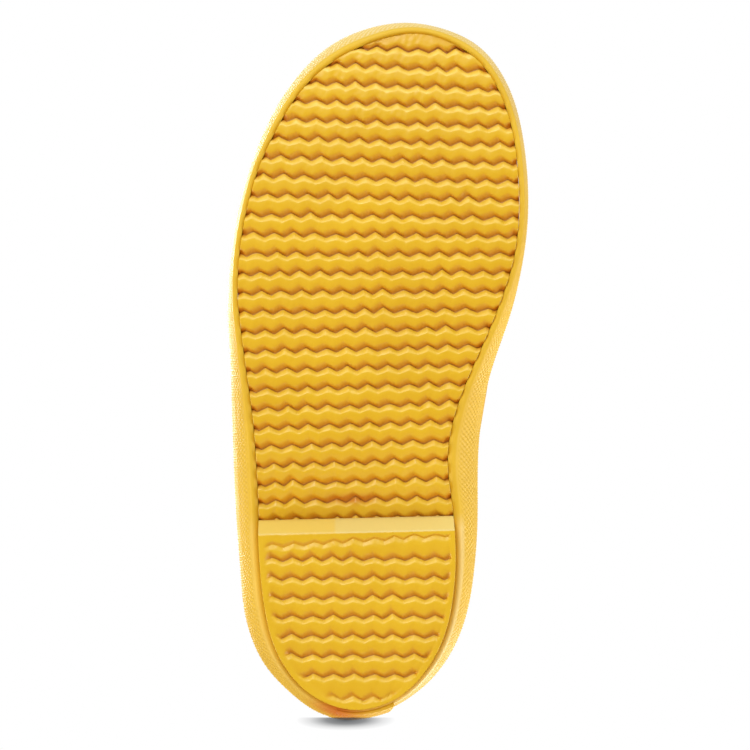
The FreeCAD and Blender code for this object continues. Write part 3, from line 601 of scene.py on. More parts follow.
def tread_tints(x, y, depth, full, edge):
    """The tread's tints. Groove is painted shade, full on the wall that faces the heel and in the notches at the
    tread's edge, and also an old stain in front of the heel. Crest is a painted highlight, full on the slope that
    faces the toe, and weaker away from the toe. Line is painted shade at the very bottom of a groove."""
    fall = np.gradient(depth, axis=0) / np.minimum(np.gradient(x, axis=0), -1e-3)
    down = np.clip(depth / full, 0, 1)
    # Painted shade: full on the walls that face the heel and in the notches at the tread's edge.
    groove = down**0.6 * np.clip(0.5 - 1.3 * fall, 0.0, 1.0) + 0.9 * down * np.clip(1.5 - edge, 0, 1)
    groove += 1.1 * spot((x - STAIN[0]) / STAIN_SIZE[0], (y - STAIN[1]) / STAIN_SIZE[1])
    # The painted highlight varies in strength from place to place, and is stronger towards the toe.
    highlight_patchiness = 0.72 + 0.32 * noise(np.stack([x, y], -1), 1.7, seed=7)
    toewards = np.interp(x, (-90, 30, 75), (0.34, 0.42, 0.85))
    crest = np.clip(1.6 * fall, 0, 1) * np.clip(1.25 - 1.1 * down, 0, 1) * highlight_patchiness * toewards
    # Painted shade along the very bottom of each groove.
    line = down**7 * np.clip(0.4 - fall, 0, 0.9)
    return {"groove": np.clip(groove, 0, 1), "crest": np.clip(crest, 0, 1), "line": line}


def uneven(x, y, seed):
    """The moulding's slight unevenness in depth: slow waves and small dents."""
    place = np.stack([x, y], -1)
    return 0.04 * noise(place, 4.0, seed=seed) + 0.05 * noise(place, 1.2, seed=seed + 1)


def tread_solid(name, x, y, bottom, top, shades):
    """A closed solid under a grid of heights, with straight walls up to the top surface."""
    rows, columns = x.shape
    under = np.stack([x, y, bottom], axis=-1).reshape(-1, 3)
    left = np.stack([x[:, 0], y[:, 0], top[:, 0]], axis=-1)
    right = np.stack([x[:, -1], y[:, -1], top[:, -1]], axis=-1)
    n, r = rows * columns, np.arange(rows - 1)
    first, last = np.arange(rows) * columns, np.arange(rows) * columns + columns - 1
    faces = [tuple(f) for f in grid_faces(rows, columns)]
    a, b = n + np.arange(rows), n + rows + np.arange(rows)
    faces += list(zip(first[r], first[r + 1], a[r + 1], a[r]))
    faces += list(zip(last[r + 1], last[r], b[r], b[r + 1]))
    faces += list(zip(a[r], a[r + 1], b[r + 1], b[r]))
    faces.append(tuple(np.arange(columns)) + (b[0], a[0]))
    faces.append(tuple(np.arange(columns - 1, -1, -1) + (rows - 1) * columns) + (a[-1], b[-1]))
    vertices = np.vstack([under, left, right])
    piece = face_outwards(new_piece(name, vertices, faces, tread_rubber))
    for key, shade in shades.items():
        carry(piece, key, np.concatenate([shade.ravel(), np.zeros(2 * rows)]))
    return piece


FORE = Grooves(
    first=84.5, pitch=4.92, rows=25, last_gap=0.0, swing=0.66, crest_swing=0.40, wall_swing=0.62, skew=0.9,
    crest=1.45, wall=1.35, depth=1.3, seed=3,
    course=[
        (-40, -1.2, 10.6), (-34, -1.4, 10.3), (-24, -2.0, 9.9), (-14, -2.0, 8.6), (-5, -1.9, 8.2),
        (5, -1.5, 7.9), (15, -0.7, 7.3), (26, -0.2, 6.3), (36, 0.4, 4.7), (46, 1.3, 2.9), (56, 1.6, 1.1),
        (65, 2.0, -0.1), (75, 2.2, -0.3), (88, 2.4, 0.1),
    ],
)
BREAST_TOP, BREAST_BOTTOM = -38.5, -42.1
TIP = 0.03  # how far the first and last lines stay inside the outline
COVERED_DEPTH = TREAD_DEPTH + 0.05
COVERED_FROM, COVERED_EVENLY_FROM = -40.6, -41.5  # the plain part over the heel block


def forefoot_tread():
    """The outsole: zigzag ribs from the heel's breast to the toe, and a plain part over the heel block."""
    front, back = tread_outline.front - TIP, tread_outline.back + TIP
    lines = []
    for t in np.linspace(0, 1, 16)[:-1] ** 2:
        lines.append(lambda y, fade, t=t: (
            front + (FORE.line(0, 0, y, fade)[0] - front) * t,
            0.15 + 0.1 * t + (FORE.depth - 0.25) * np.clip(t - 0.8, 0, 1) / 0.2))
    for number in range(FORE.rows):
        for share in RIB_SHARES:
            lines.append(lambda y, fade, n=number, s=share: FORE.line(n, s, y, fade))
    for share in RIB_SHARES[:8]:
        lines.append(lambda y, fade, s=share: FORE.line(FORE.rows, s, y, fade))
    for x in [COVERED_FROM, *(back + (COVERED_EVENLY_FROM - back) * np.linspace(1, 0, 24) ** 1.6)]:
        lines.append(lambda y, fade, x=x: (x, COVERED_DEPTH))
    x, y, depth = tread_lines(lines)
    edge = edge_distance(x, y)
    # Painted shade and painted highlight on the ribs, and the old stain, carried as tints.
    shades = tread_tints(x, y, depth, FORE.depth, edge)
    depth = depth * (1 + 0.5 * np.clip(1.5 - edge, 0, 1))
    depth = depth + 0.32 * (1 - rounded(edge, 0.8)) + uneven(x, y, seed=5)
    bottom = sole_line(x) + np.clip(depth, 0.0, COVERED_DEPTH)
    piece = tread_solid("tread_forefoot", x, y, bottom, sole_line(x) + OUTSOLE_THICK, shades)
    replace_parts(piece, "outsole")
    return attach(piece, "boot")


HEEL = Grooves(
    first=-43.8, pitch=5.06, rows=9, last_gap=1.2, swing=0.55, crest_swing=0.38, wall_swing=0.72, skew=0.5,
    crest=1.3, wall=1.3, depth=1.05, seed=11,
    course=[(-90, 0.0, 4.3), (-50, -0.3, 4.3), (-46, -1.0, 4.3), (-43.5, -4.0, 4.3)],
)
FIRST_GROOVE_DEPTH = 0.45  # share of the others' depth


def breast_edge(y, share=1.0):
    """X of the heel's sloping front, from its top (0) to its edge at the ground (1). It runs askew."""
    return BREAST_TOP + (BREAST_BOTTOM - BREAST_TOP) * share + 0.023 * (y + 5.6)


def heel_rib(number, share, y, fade):
    """X and depth of a line of the heel's ribs. The groove nearest the breast is shallow."""
    x, depth = HEEL.line(number, share, y, fade)
    return x, depth * (FIRST_GROOVE_DEPTH if number == 0 and share < 0.5 else 1.0)


def heel_tread():
    """The heel block with its sharper zigzag grooves inside a plain rim, and its sloping breast."""
    back = tread_outline.back + TIP
    lines = []
    for t in np.linspace(0, 1, 8):
        lines.append(lambda y, fade, t=t: (breast_edge(y, t), 0.0))
    for t in (0.15, 0.35, 0.6, 0.8, 0.92):
        lines.append(lambda y, fade, t=t: (
            breast_edge(y) + (HEEL.line(0, 0, y, fade)[0] - breast_edge(y)) * t,
            FIRST_GROOVE_DEPTH * HEEL.depth * max(t - 0.6, 0) / 0.4))
    for number in range(HEEL.rows - 1):
        for share in RIB_SHARES:
            lines.append(lambda y, fade, n=number, s=share: heel_rib(n, s, y, fade))
    for t in 1 - np.linspace(1, 0, 16) ** 1.8:
        lines.append(lambda y, fade, t=t: (
            HEEL.line(HEEL.rows - 1, 0, y, fade * (1 - t))[0] * (1 - t) + back * t,
            0.7 * HEEL.depth * np.clip(1 - t / 0.3, 0, 1)))
    x, y, depth = tread_lines(lines)
    edge = edge_distance(x, y)
    rim = np.clip((edge - 1.0) / np.where(y < LEG_CENTRE_Y, 1.9, 0.8), 0, 1)
    rim = eased(rim) * np.clip((BREAST_BOTTOM + 0.3 - x) / 1.0, 0, 1)
    # Painted shade and painted highlight on the heel's ribs; the painted shade is kept off the breast.
    shades = tread_tints(x, y, rim * depth, HEEL.depth, edge + 1.5)
    on_breast = x > breast_edge(y) - 0.05
    shades["tone"] = np.clip((-10.8 - y) / 0.6, 0, 1)
    shades["groove"], shades["line"] = (np.where(on_breast, 0.0, shades[key]) for key in ("groove", "line"))
    depth = rim * (0.10 + depth) + 0.35 * (1 - rounded(edge, 0.5)) + uneven(x, y, seed=12)
    slope = (x - breast_edge(y)) / (BREAST_TOP - BREAST_BOTTOM) * sole_line(BREAST_TOP)
    bottom = np.maximum(np.clip(depth, 0, 1.8), slope)
    top = sole_line(x) + TREAD_DEPTH
    piece = tread_solid("tread_heel", x, y, np.minimum(bottom, top - 0.3), top, shades)
    # The breast's faces take the paler rubber, a painted highlight.
    piece.data.materials.append(breast_highlight_rubber)
    for polygon in piece.data.polygons:
        if polygon.normal.x > 0.5 and polygon.center.x > (BREAST_BOTTOM - 1) * MM:
            polygon.material_index = 1
    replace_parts(piece, "heel_block")
    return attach(piece, "boot")


# ---- Foxing: a knurled band round the sole's edge

FOXING_TOP, FOXING_LIFT = 17.5, 0.4
# Height above the sole line, share of the way from the tread's outline to the foxing's, and growth outwards
FOXING_PROFILE = np.array([(0, 0.12, 0.9), (4, 0.5, 0.6), (8, 0.8, 0.25), (13, 1, 0), (19, 1, 0)], float)
KNURLS_AROUND, KNURL_PITCH, KNURL_ROWS, KNURL_HEIGHT = 322, 1.42, 1.05, 0.19


def even_angles(count):
    """Angles round the foxing's outline whose points are evenly spaced."""
    angle = np.linspace(0, math.tau, 20001)
    x, y = foxing_outline.at(angle)
    length = np.concatenate([[0], np.cumsum(np.hypot(np.diff(x), np.diff(y)))])
    return np.interp(np.linspace(0, length[-1], count, endpoint=False), length, angle), length[-1]


def level_normal(dx, dy):
    """The outward level direction square to a run round an outline."""
    length = np.hypot(dx, dy)
    return dy / length, -dx / length


def level_normals(x, y):
    """Outward level normals of closed rings of points, ring by ring along the second axis."""
    return level_normal(*(np.roll(c, -1, axis=0) - np.roll(c, 1, axis=0) for c in (x, y)))


def foxing_base(angle, height):
    """Places between the tread's outline and the foxing's, by the height above the sole line."""
    share = np.interp(height, FOXING_PROFILE[:, 0], FOXING_PROFILE[:, 1])
    tx, ty = tread_outline.at(angle)
    fx, fy = foxing_outline.at(angle)
    return tx + (fx - tx) * share, ty + (fy - ty) * share


def foxing_face(angle, height, outwards, closed=True):
    """Points of the foxing's outer face, as (around, levels) grids. The level normals of a closed ring come from
    its neighbouring points, and those of a part of one from a small turn either way."""
    x, y = foxing_base(angle, height)
    if closed:
        normal_x, normal_y = level_normals(x, y)
    else:
        (x0, y0), (x1, y1) = (foxing_base(angle + turn, height) for turn in (-0.02, 0.02))
        normal_x, normal_y = level_normal(x1 - x0, y1 - y0)
    reach = np.interp(height, FOXING_PROFILE[:, 0], FOXING_PROFILE[:, 2]) + outwards
    x = x + normal_x * reach
    return np.stack([x, y + normal_y * reach, height + sole_line(x)], axis=-1)


def knurl_wave(across, up, pitch):
    """The knurling's points and hollows, from 1 to -1, at places along and up the foxing."""
    return np.cos(math.tau * across / pitch) * np.cos(math.pi * up / KNURL_ROWS)


def heel_painted_shade(points):
    """How much painted orange shade the foxing takes at each point, most at the back of the heel."""
    x, y, z = np.moveaxis(points, -1, 0)
    return 0.95 * spot((y + 10.5) / 6.5, (z - 8.0) / 6.0) * np.clip((-84.5 - x) / 3.0, 0, 1)


def foxing_band():
    """The band round the boot's edge: a plain strip by the tread, knurling above it, and rounded edges."""
    angle, length = even_angles(KNURLS_AROUND * 5)
    around = np.arange(len(angle)) * length / len(angle)
    up = np.concatenate([np.linspace(0.0, 1.6, 7), np.linspace(1.9, FOXING_TOP - FOXING_LIFT - 0.8, 46),
                         FOXING_TOP - FOXING_LIFT - np.array([0.4, 0.1, 0.0])])
    angle, around, up = np.broadcast_arrays(angle[:, None], around[:, None], up[None, :])
    height = FOXING_LIFT + up
    knurled = np.clip((up - 0.9) / 0.5, 0, 1) * np.clip((FOXING_TOP - 0.9 - height) / 0.5, 0, 1)
    knurl = knurl_wave(around, up, length / KNURLS_AROUND)
    edge = 1 - rounded(np.minimum(up, FOXING_TOP - height) + 0.02, 0.6)
    outer = foxing_face(angle, height, KNURL_HEIGHT * knurl * knurled - 0.4 * edge)
    tx, ty = tread_outline.at(angle[:, 0])
    nx, ny = level_normals(tx, ty)
    upper = upper_surface(angle[:, 0], FOXING_TOP, 0.05)
    top = np.stack([upper[:, 0], upper[:, 1], outer[:, -1, 2]], axis=-1)
    foot = np.stack([tx + nx * 0.06, ty + ny * 0.06, outer[:, 0, 2] + 0.22], axis=-1)
    sections = np.concatenate([outer, top[:, None], foot[:, None]], axis=1)
    piece = ring_solid("foxing_knurled", sections, foxing_rubber)
    x, y = outer[..., 0], outer[..., 1]
    # Painted highlight: the knurl points are painted pale as if lit, most towards the toe.
    points = np.clip(0.45 + 0.55 * knurl, 0, 1) * knurled * np.interp(x, (40, 80), (0.10, 0.80))
    # Painted light beside the heel block, lifting the foxing's foot out of that block's shade.
    beside_heel = np.interp(y, (-10, 10), (0.10, 0.36)) * np.clip((-37 - x) / 4, 0, 1)
    foxing_painted_light = np.zeros(sections.shape[:2])
    foxing_painted_light[:, :-2] = np.maximum(points, beside_heel * np.clip((2.4 - up) / 1.4, 0, 1))
    carry(piece, "tip", foxing_painted_light)
    # Painted orange shade low at the back of the heel.
    carry(piece, "heel_painted_shade", heel_painted_shade(sections))
    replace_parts(piece, "foxing_band")
    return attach(face_outwards(piece), "boot")


# ---- Upper: the rubber boot, its lining, footbed cloth, toe cap, back strip and collar, and the foxing's lap

RUBBER_THICK, LINING_THICK, OVERLAY_THICK = 2.2, 1.4, 0.9
COLLAR_HEIGHT, TOE_CAP_BACK, LAP_HEIGHT = 11.0, 60.0, 0.45
COVER_LIFT, COVER_THICK, RIM_RISE = 11.5, 0.5, 2.8
ANKLE_LAP, ANKLE_LAP_SLOPE, BACK_STRIP_WIDTH = 71.0, 11.0, 14.0


def ring_angles(count=360):
    """Angles round the boot, down a column."""
    return np.linspace(0, math.tau, count, endpoint=False)[:, None]


def boot_upper():
    """The foot and leg in one skin of rubber, with the lap where the leg goes over the foot."""
    angle = ring_angles()
    out_z = np.concatenate([np.arange(4.5, 60, 1.6), np.arange(60, 186, 1.5), [187.5, 189.2, BOOT_TOP - 0.2]])
    in_z = np.linspace(BOOT_TOP - 0.2, 6.5, 34)
    lap = ANKLE_LAP + ANKLE_LAP_SLOPE * np.cos(angle)
    step = LAP_HEIGHT * np.clip((out_z - lap) / 0.9, 0, 1) * np.clip((lap + 26 - out_z) / 22, 0, 1)
    outer = upper_surface(angle, out_z, step)
    inner = upper_surface(angle, in_z, -RUBBER_THICK)
    piece = ring_solid("boot_upper", np.concatenate([outer, inner], axis=1), upper_rubber)
    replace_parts(piece, "foot_upper", "leg_upper")
    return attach(face_outwards(piece), "boot")


def boot_lining():
    """The knitted lining, lying a little loose against the rubber."""
    angle = ring_angles(300)
    z = np.concatenate([np.arange(10.5, 186, 1.7), [BOOT_TOP - 0.6]])[None, :]
    back_z = z[:, ::-4]
    place = np.stack(np.broadcast_arrays(9 * np.cos(angle), 9 * np.sin(angle), z / 3.5), axis=-1)
    loose = 0.16 * noise(place, 2.6, seed=31)
    face = upper_surface(angle, z, -RUBBER_THICK - LINING_THICK + loose)
    behind = upper_surface(angle, back_z, -RUBBER_THICK - 0.1)
    piece = ring_solid("knit_lining", np.concatenate([face, behind], axis=1), lining_knit)
    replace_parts(piece, "lining")
    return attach(face_outwards(piece), "boot")


def footbed_cloth():
    """The textile cover of the footbed, dished a little under the heel and the ball."""
    around = np.arccos(np.linspace(0.999, -0.999, 90))
    inwards = -RUBBER_THICK - LINING_THICK - 0.2
    outer, inner = (upper_surface(side * around, COVER_LIFT + 0.3, inwards)[:, None] for side in (-1, 1))
    share = np.linspace(0, 1, 40)[None, :, None]
    grid = outer + (inner - outer) * share
    x, y = grid[..., 0], grid[..., 1]
    dish = 0.35 * np.sin(math.pi * share[..., 0]) + 0.12 * noise(np.stack([x, y], -1), 9.0, seed=32)
    top = np.stack([x, y, sole_line(x) + COVER_LIFT + COVER_THICK - np.clip(dish, 0, 0.4)], axis=-1)
    under = np.stack([x, y, sole_line(x) + COVER_LIFT - 0.45], axis=-1)
    piece = patch_solid("footbed_cloth", top, under, lining_knit)
    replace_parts(piece, "footbed_cover")
    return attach(face_outwards(piece), "boot")


def toe_cap():
    """The rubber cap over the toe, with a rounded rear edge and a raised bead along it."""
    z = np.concatenate([np.linspace(FOXING_TOP - 0.5, 44.0, 44), [44.8, 45.4, 45.8]])
    back, front = (np.interp(z, STATION_CURVES[:, 0], STATION_CURVES[:, k]) for k in (1, 2))
    reach = np.arccos(np.clip(2 * (TOE_CAP_BACK - back) / (front - back) - 1, -1, 0.9995))
    share = np.sin(np.linspace(-1, 1, 141) * math.pi / 2)
    angle = reach[:, None] * share[None, :]
    height = np.broadcast_to(z[:, None], angle.shape)
    x = upper_point(angle, height)[..., 0]
    edge = x - TOE_CAP_BACK
    bead = 0.35 * spot((edge - 2.0) / 0.7)
    top = upper_surface(angle, height, (OVERLAY_THICK - 0.3) * rounded(edge + 0.05, 0.9) + bead)
    under = upper_surface(angle, height, -0.3)
    piece = patch_solid("toe_cap_moulded", top, under, upper_rubber)
    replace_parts(piece, "toe_cap")
    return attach(face_outwards(piece), "boot")


def angles_at_y(z, y):
    """Angles round the back of the boot at which the upper passes through each y, for rows of heights."""
    spread = np.linspace(-0.8, 0.8, 400)
    rows = []
    for height in z:
        angle = math.pi + spread
        across = upper_point(angle, np.full(spread.shape, height))[:, 1]
        rows.append(np.interp(y, across[::-1], angle[::-1]))
    return np.array(rows)


def back_patch(z, y, outwards):
    """A grid of points on the back of the boot for heights, sideways places and stand-off."""
    height = np.broadcast_to(z[:, None], (len(z), len(y)))
    return upper_surface(angles_at_y(z, y), height, outwards)


def back_strip():
    """The strip of rubber over the seam up the back, with a shallow rib down each side."""
    z = np.concatenate([np.arange(FOXING_TOP, 178.0, 1.6), [178.5, 178.8]])
    half = BACK_STRIP_WIDTH / 2
    across = half * np.sin(np.linspace(-1, 1, 41) * math.pi / 2)
    edge = half - np.abs(across)
    section = OVERLAY_THICK * rounded(edge + 0.02, 0.8) - 0.25 * spot((edge - 2.0) / 0.6)
    y = LEG_CENTRE_Y + across
    top, under = back_patch(z, y, section[None, :]), back_patch(z, y, -0.3)
    piece = patch_solid("heel_strip", top, under, foxing_rubber)
    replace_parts(piece, "back_strip")
    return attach(face_outwards(piece), "boot")


def collar_band():
    """The band folded over the leg's cut edge: rounded lips, three fine ribs outside, and a soft rim."""
    angle = ring_angles()
    rim, foot, inside = BOOT_TOP + OVERLAY_THICK, BOOT_TOP - COLLAR_HEIGHT, -(RUBBER_THICK + LINING_THICK)
    up = np.concatenate([[0.0, 0.12, 0.35, 0.7], np.linspace(1.1, COLLAR_HEIGHT - 2.2, 40)])
    ribs = sum(0.28 * spot((up - at) / 0.5) for at in (2.4, 4.4, 6.4))
    profile = [(foot + u, OVERLAY_THICK * rounded(u, 0.7) - 0.28 + rib) for u, rib in zip(up, ribs)]
    middle, half = (inside - OVERLAY_THICK + 0.62) / 2, (OVERLAY_THICK + 0.62 - inside) / 2
    for turn in np.linspace(0.05, 0.95, 19) * math.pi:
        sideways = math.copysign(abs(math.cos(turn)) ** 0.7, math.cos(turn))
        profile.append((rim - RIM_RISE + RIM_RISE * math.sin(turn) ** 0.8, middle + half * sideways))
    profile += [(foot + u, inside - OVERLAY_THICK) for u in (6.0, 2.0, 0.5)]
    profile += [(foot, inside - 0.3), (foot, inside), (BOOT_TOP, inside), (BOOT_TOP, 0.0), (foot, -0.05)]
    z, out = np.array(profile, float).T[:, None, :]
    wave = noise(np.stack([6 * np.cos(angle), 6 * np.sin(angle), 0 * angle], -1), 4.0, seed=41)
    section = upper_surface(angle, z, out + 0.10 * wave)
    piece = ring_solid("collar_ribbed", section, foxing_rubber)
    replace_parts(piece, "collar_band")
    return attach(face_outwards(piece), "boot")


LAP_Y, LAP_THICK = (-13.0, 3.0), 0.85


def foxing_lap():
    """The end of the foxing lapped over its start at the heel, knurled and rounded at its edges."""
    around = math.pi + np.linspace(-0.9, 0.9, 900)
    across, up = np.linspace(*LAP_Y, 161), np.linspace(0.0, FOXING_TOP - FOXING_LIFT - 4.4, 60)
    angle = np.interp(across, foxing_outline.at(around)[1][::-1], around[::-1])
    angle, across, up = np.broadcast_arrays(angle[:, None], across[:, None], up[None, :])
    knurl = knurl_wave(across, up, KNURL_PITCH) * np.clip((up - 1.2) / 0.5, 0, 1)
    edge = np.minimum(np.minimum(across - LAP_Y[0], LAP_Y[1] - across), np.minimum(up, up.max() - up))
    height = FOXING_LIFT + up
    taper = 0.25 + 0.75 * (across - LAP_Y[0]) / (LAP_Y[1] - LAP_Y[0])
    outwards = LAP_THICK * taper * rounded(edge + 0.03, 0.5) - 0.1 + KNURL_HEIGHT * knurl
    outer = foxing_face(angle, height, outwards, closed=False)
    inner = foxing_face(angle, height, -0.35, closed=False)
    piece = patch_solid("foxing_joint", outer, inner, foxing_rubber)
    # Painted orange shade low at the back of the heel.
    carry(piece, "heel_painted_shade", heel_painted_shade(np.concatenate([outer, inner])))
    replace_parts(piece, "foxing_patch")
    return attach(face_outwards(piece), "boot")


# ---- Pull loop: one length of webbing, sewn down on the collar at both ends, and its stitches

WEBBING_WIDTH, WEBBING_THICK, ANCHOR_LENGTH = 16.0, 1.4, 20.0
HINGE = (-85.7, 192.6)
LOOP_HEIGHT, LOOP_ROUND = 22.0, 6.0
STITCH_PITCH = 2.3


def webbing_path():
    """The webbing's middle line, as X and Z: up its outer layer, round the loop, and down its inner layer."""
    half = WEBBING_THICK / 2
    top_z, radius = HINGE[1] + LOOP_HEIGHT - LOOP_ROUND, LOOP_ROUND - half
    foot = BOOT_TOP + OVERLAY_THICK - ANCHOR_LENGTH + 0.7
    heights = np.linspace(foot, BOOT_TOP - 0.5, 14)
    back = upper_surface(math.pi, heights)[:, 0] - OVERLAY_THICK - 0.1
    outer = list(zip(back - 1.5 * WEBBING_THICK, heights))
    inner = list(zip(back - 0.5 * WEBBING_THICK, heights))[::-1]
    lean = math.asin((radius - half) / (top_z - HINGE[1]))
    crown = [(HINGE[0] - radius * math.cos(t), top_z + radius * math.sin(t))
             for t in np.linspace(-lean, math.pi + lean, 30)]
    neck = [(HINGE[0] - half, HINGE[1] - 0.4), (HINGE[0] - half - 0.25, HINGE[1] + 1.8)]
    other = [(2 * HINGE[0] - x, z) for x, z in neck[::-1]]
    points = np.array(outer + neck + crown + other + inner)
    length = np.concatenate([[0], np.cumsum(np.hypot(*np.diff(points, axis=0).T))])
    at = np.linspace(0, length[-1], 190)
    line = np.stack([np.interp(at, length, points[:, k]) for k in (0, 1)], axis=1)
    for _ in range(6):
        line[1:-1] = (line[:-2] + 2 * line[1:-1] + line[2:]) / 4
    return line


def webbing_loop():
    """One closed strip of webbing with round selvedges, bending at the collar's edge."""
    line = webbing_path()
    tangent = np.gradient(line, axis=0)
    tangent /= np.linalg.norm(tangent, axis=1, keepdims=True)
    normal = np.stack([-tangent[:, 1], tangent[:, 0]], axis=1)
    half_w, half_t, columns = WEBBING_WIDTH / 2, WEBBING_THICK / 2 - 0.04, 34
    across = half_w * np.sin(np.linspace(-1, 1, columns) * math.pi / 2)
    thick = half_t * np.clip(rounded(half_w - np.abs(across) + 0.02, 0.6), 0.25, 1)
    thick = thick + 0.05 * np.cos(math.tau * across / 1.6)
    middle = np.stack(np.broadcast_arrays(line[:, :1], LEG_CENTRE_Y + across, line[:, 1:]), axis=-1)
    lift = thick[None, :, None] * np.insert(normal, 1, 0.0, axis=1)[:, None]
    sections = np.concatenate([middle + lift, (middle - lift)[:, ::-1]], axis=1)
    piece = tube_solid("webbing_loop", sections, webbing_weave)
    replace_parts(face_outwards(piece), "loop_anchor", "pull_loop")
    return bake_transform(piece)


def stitch(points, faces, place, along, out):
    """Adds one stitch to the lists: a short thread that rises from the cloth and goes back into it."""
    side = np.cross(along, out)
    start = len(points)
    for share in np.linspace(-1, 1, 7):
        rise = 0.16 * math.cos(share * math.pi / 2) - 0.12
        middle = place + along * share * 0.85 + out * rise
        girth = 0.24 * max(math.cos(share * 1.35), 0.25)
        for turn in np.linspace(0, math.tau, 6, endpoint=False):
            points.append(middle + side * girth * math.cos(turn) + out * girth * math.sin(turn))
    faces.extend(map(tuple, grid_faces(7, 6, closed_columns=True, start=start)))


def loop_stitches():
    """The stitched box with a cross in it that holds the webbing down."""
    half, low, high = WEBBING_WIDTH / 2 - 1.6, BOOT_TOP - ANCHOR_LENGTH + 3.2, BOOT_TOP - 1.4
    corners = [(-half, low), (half, low), (half, high), (-half, high), (-half, low), (half, high)]
    runs = list(zip(corners[:-1], corners[1:])) + [((half, low), (-half, high))]
    points, faces, backwards = [], [], np.array([-1.0, 0.0, 0.0])
    for (y0, z0), (y1, z1) in runs:
        length = math.hypot(y1 - y0, z1 - z0)
        count = int(length / STITCH_PITCH)
        for share in (np.arange(count) + 0.5) / count:
            y, z = y0 + (y1 - y0) * share, z0 + (z1 - z0) * share
            leg_x = back_patch(np.array([z]), np.array([LEG_CENTRE_Y]), 0.0)[0, 0, 0]
            place = np.array([leg_x - OVERLAY_THICK - 0.1 - 2 * WEBBING_THICK, LEG_CENTRE_Y + y, z])
            stitch(points, faces, place, np.array([0.0, y1 - y0, z1 - z0]) / length, backwards)
    piece = new_piece("loop_stitches", points, faces, thread)
    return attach(piece, "boot")


forefoot_tread()
heel_tread()
foxing_band()
boot_upper()
boot_lining()
footbed_cloth()
toe_cap()
back_strip()
collar_band()
foxing_lap()
webbing_loop()
loop_stitches()

# ---- Camera, lights and stage

# From here on, lengths are in metres
CAMERA_PLACE, VIEW_WIDTH, VIEW_HEIGHT = (-0.00106, -0.00066, -0.90), 0.1982, 0.015
TOE_UP = Matrix(((0, 1, 0, 0), (1, 0, 0, 0), (0, 0, -1, 0), (0, 0, 0, 1)))


def place_camera():
    """The camera under the boot, looking straight up, with the toe at the top of the picture. The picture is
    VIEW_WIDTH wide at VIEW_HEIGHT above the ground."""
    data = bpy.data.cameras.new("camera")
    data.sensor_width = 36.0
    data.lens = data.sensor_width * (VIEW_HEIGHT - CAMERA_PLACE[2]) / VIEW_WIDTH
    data.clip_end = 50.0
    camera = bpy.data.objects.new("camera", data)
    camera.matrix_world = Matrix.Translation(CAMERA_PLACE) @ TOE_UP
    bpy.context.scene.collection.objects.link(camera)
    bpy.context.scene.camera = camera


def area_light(name, place, aim_height, size, power):
    """A round soft light that points at a height above the middle of the footprint."""
    data = bpy.data.lights.new(name, "AREA")
    data.shape, data.size, data.energy = "DISK", size, power
    light = bpy.data.objects.new(name, data)
    light.location = place
    light.rotation_euler = (Vector((0, 0, aim_height)) - Vector(place)).to_track_quat("-Z", "Y").to_euler()
    light.visible_camera = False
    bpy.context.scene.collection.objects.link(light)


SKY_STRENGTH, SKY_HEEL, SKY_TOE = 0.53, (1.0, 0.76, 0.44), (1.0, 1.0, 1.0)


def white_world():
    """White behind the boot, and a dimmer soft light on it, which is warmer from the heel's side."""
    world = bpy.data.worlds.new("studio")
    bpy.context.scene.world = world
    world.use_nodes = True
    tree = world.node_tree
    tree.nodes.clear()
    output, path, dim, bright, mix, place, split, tint = (tree.nodes.new("ShaderNode" + kind) for kind in (
        "OutputWorld", "LightPath", "Background", "Background", "MixShader", "TexCoord", "SeparateXYZ",
        "ValToRGB"))
    dim.inputs["Strength"].default_value = SKY_STRENGTH
    bright.inputs["Color"].default_value = (1, 1, 1, 1)
    for element, position, colour in zip(tint.color_ramp.elements, (0.0, 0.35), (SKY_HEEL, SKY_TOE)):
        element.position, element.color = position, (*colour, 1)
    for source, target in [
        (place.outputs["Generated"], split.inputs[0]), (split.outputs["X"], tint.inputs["Fac"]),
        (tint.outputs["Color"], dim.inputs["Color"]), (path.outputs["Is Camera Ray"], mix.inputs[0]),
        (dim.outputs[0], mix.inputs[1]), (bright.outputs[0], mix.inputs[2]),
        (mix.outputs[0], output.inputs["Surface"]),
    ]:
        tree.links.new(source, target)


def show_where(m, shader, hidden):
    """Ends a material with its shader where hidden is 0, and with nothing at all where hidden is 1."""
    clear, mix = m.add("ShaderNodeBsdfTransparent"), m.add("ShaderNodeMixShader")
    for source, target in zip((hidden, shader.outputs[0], clear.outputs[0]), mix.inputs):
        m.link(source, target)
    output = next(n for n in m.tree.nodes if n.type == "OUTPUT_MATERIAL")
    m.link(mix.outputs[0], output.inputs["Surface"])
    return m.material


def floor_white():
    """The white floor, clear from below so that it never hides the boot, and fading out further off."""
    m = Nodes("floor")
    m.set(Base_Color=(0.93, 0.93, 0.93, 1.0), Roughness=0.9, Specular_IOR_Level=0.1)
    away = m.add("ShaderNodeVectorMath", operation="LENGTH")
    hidden = m.add("ShaderNodeMath", operation="MAXIMUM")
    m.link(m.place, away.inputs[0])
    m.link(m.ramp(away.outputs["Value"], (0.18, 0.0), (0.55, 1.0)), hidden.inputs[0])
    m.link(m.add("ShaderNodeNewGeometry").outputs["Backfacing"], hidden.inputs[1])
    return show_where(m, m.shader, hidden.outputs[0])


SHADOW_PLACE, SHADOW_REACH = (-0.0900, -0.0082, -0.007), (0.0128, 0.027)


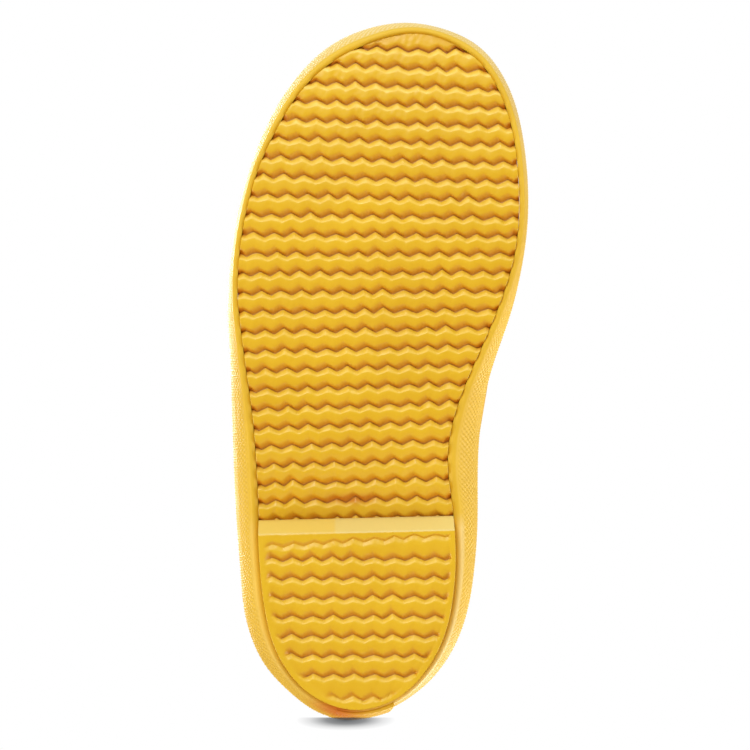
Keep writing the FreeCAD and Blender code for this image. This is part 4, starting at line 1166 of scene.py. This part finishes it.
def shadow_grey():
    """A painted soft shadow: a grey spot, darkest in its middle and clear from behind."""
    m = Nodes("heel_shadow")
    m.tree.nodes.remove(m.shader)
    mapping, length = m.add("ShaderNodeMapping"), m.add("ShaderNodeVectorMath", operation="LENGTH")
    (wide, tall), (_, y, z) = SHADOW_REACH, SHADOW_PLACE
    mapping.inputs["Scale"].default_value = (0.0, 1 / wide, 1 / tall)
    mapping.inputs["Location"].default_value = (0.0, -y / wide, -z / tall)
    m.link(m.place, mapping.inputs["Vector"])
    m.link(mapping.outputs["Vector"], length.inputs[0])
    grey, hidden = m.add("ShaderNodeEmission"), m.add("ShaderNodeMath", operation="ADD", use_clamp=True)
    grey.inputs["Color"].default_value = (0.055, 0.062, 0.07, 1.0)
    clearing = m.ramp(length.outputs["Value"], (0.0, 0.05), (0.4, 0.25), (0.75, 0.78), (1.0, 1.0))
    m.link(clearing, hidden.inputs[0])
    m.link(m.add("ShaderNodeNewGeometry").outputs["Backfacing"], hidden.inputs[1])
    return show_where(m, grey, hidden.outputs[0])


def stage_sheet(name, corners, material):
    """A flat sheet of the stage, which throws no light or shadow on the boot."""
    mesh = bpy.data.meshes.new(name)
    mesh.from_pydata(corners, [], [(0, 1, 2, 3)])
    sheet = bpy.data.objects.new(name, mesh)
    sheet.data.materials.append(material)
    bpy.context.scene.collection.objects.link(sheet)
    sheet.visible_shadow = sheet.visible_diffuse = sheet.visible_glossy = False


FLOOR_Z, FLOOR_HALF = -0.0004, 3


def floor():
    """The surface under the boot."""
    h = FLOOR_HALF
    corners = [(-h, -h, FLOOR_Z), (h, -h, FLOOR_Z), (h, h, FLOOR_Z), (-h, h, FLOOR_Z)]
    stage_sheet("floor", corners, floor_white())


def heel_shadow():
    """The painted soft shadow where the heel touches the white surface that the boot stands against."""
    (x, y, z), (wide, tall), top = SHADOW_PLACE, SHADOW_REACH, 2 * FLOOR_Z
    corners = [(x, y - wide, z - tall), (x, y + wide, z - tall), (x, y + wide, top), (x, y - wide, top)]
    stage_sheet("heel_shadow", corners, shadow_grey())


# Name, place, height that it points at, size in metres, and power in watts
LIGHTS = [
    ("toe_key", (1.15, -0.35, -1.15), 0.0, 0.7, 13.2), ("heel_fill", (-1.2, 0.15, -1.0), 0.0, 0.8, 2.0),
    ("side_left", (-0.6, -1.05, -0.2), 0.01, 0.7, 6.7), ("side_right", (-0.45, 1.1, -0.16), 0.01, 0.7, 6.7),
    ("toe_fill", (1.5, 0.1, -0.30), 0.01, 0.5, 3.3),
    ("top_key", (0.2, -0.6, 1.4), 0.08, 0.7, 22.0), ("top_fill", (-0.8, 0.6, 0.9), 0.08, 0.9, 10.0),
]

place_camera()
white_world()
for light in LIGHTS:
    area_light(*light)
floor()
heel_shadow()

scene = bpy.context.scene
scene.view_settings.view_transform = "Standard"
scene.view_settings.look = "None"

bpy.context.view_layer.update()
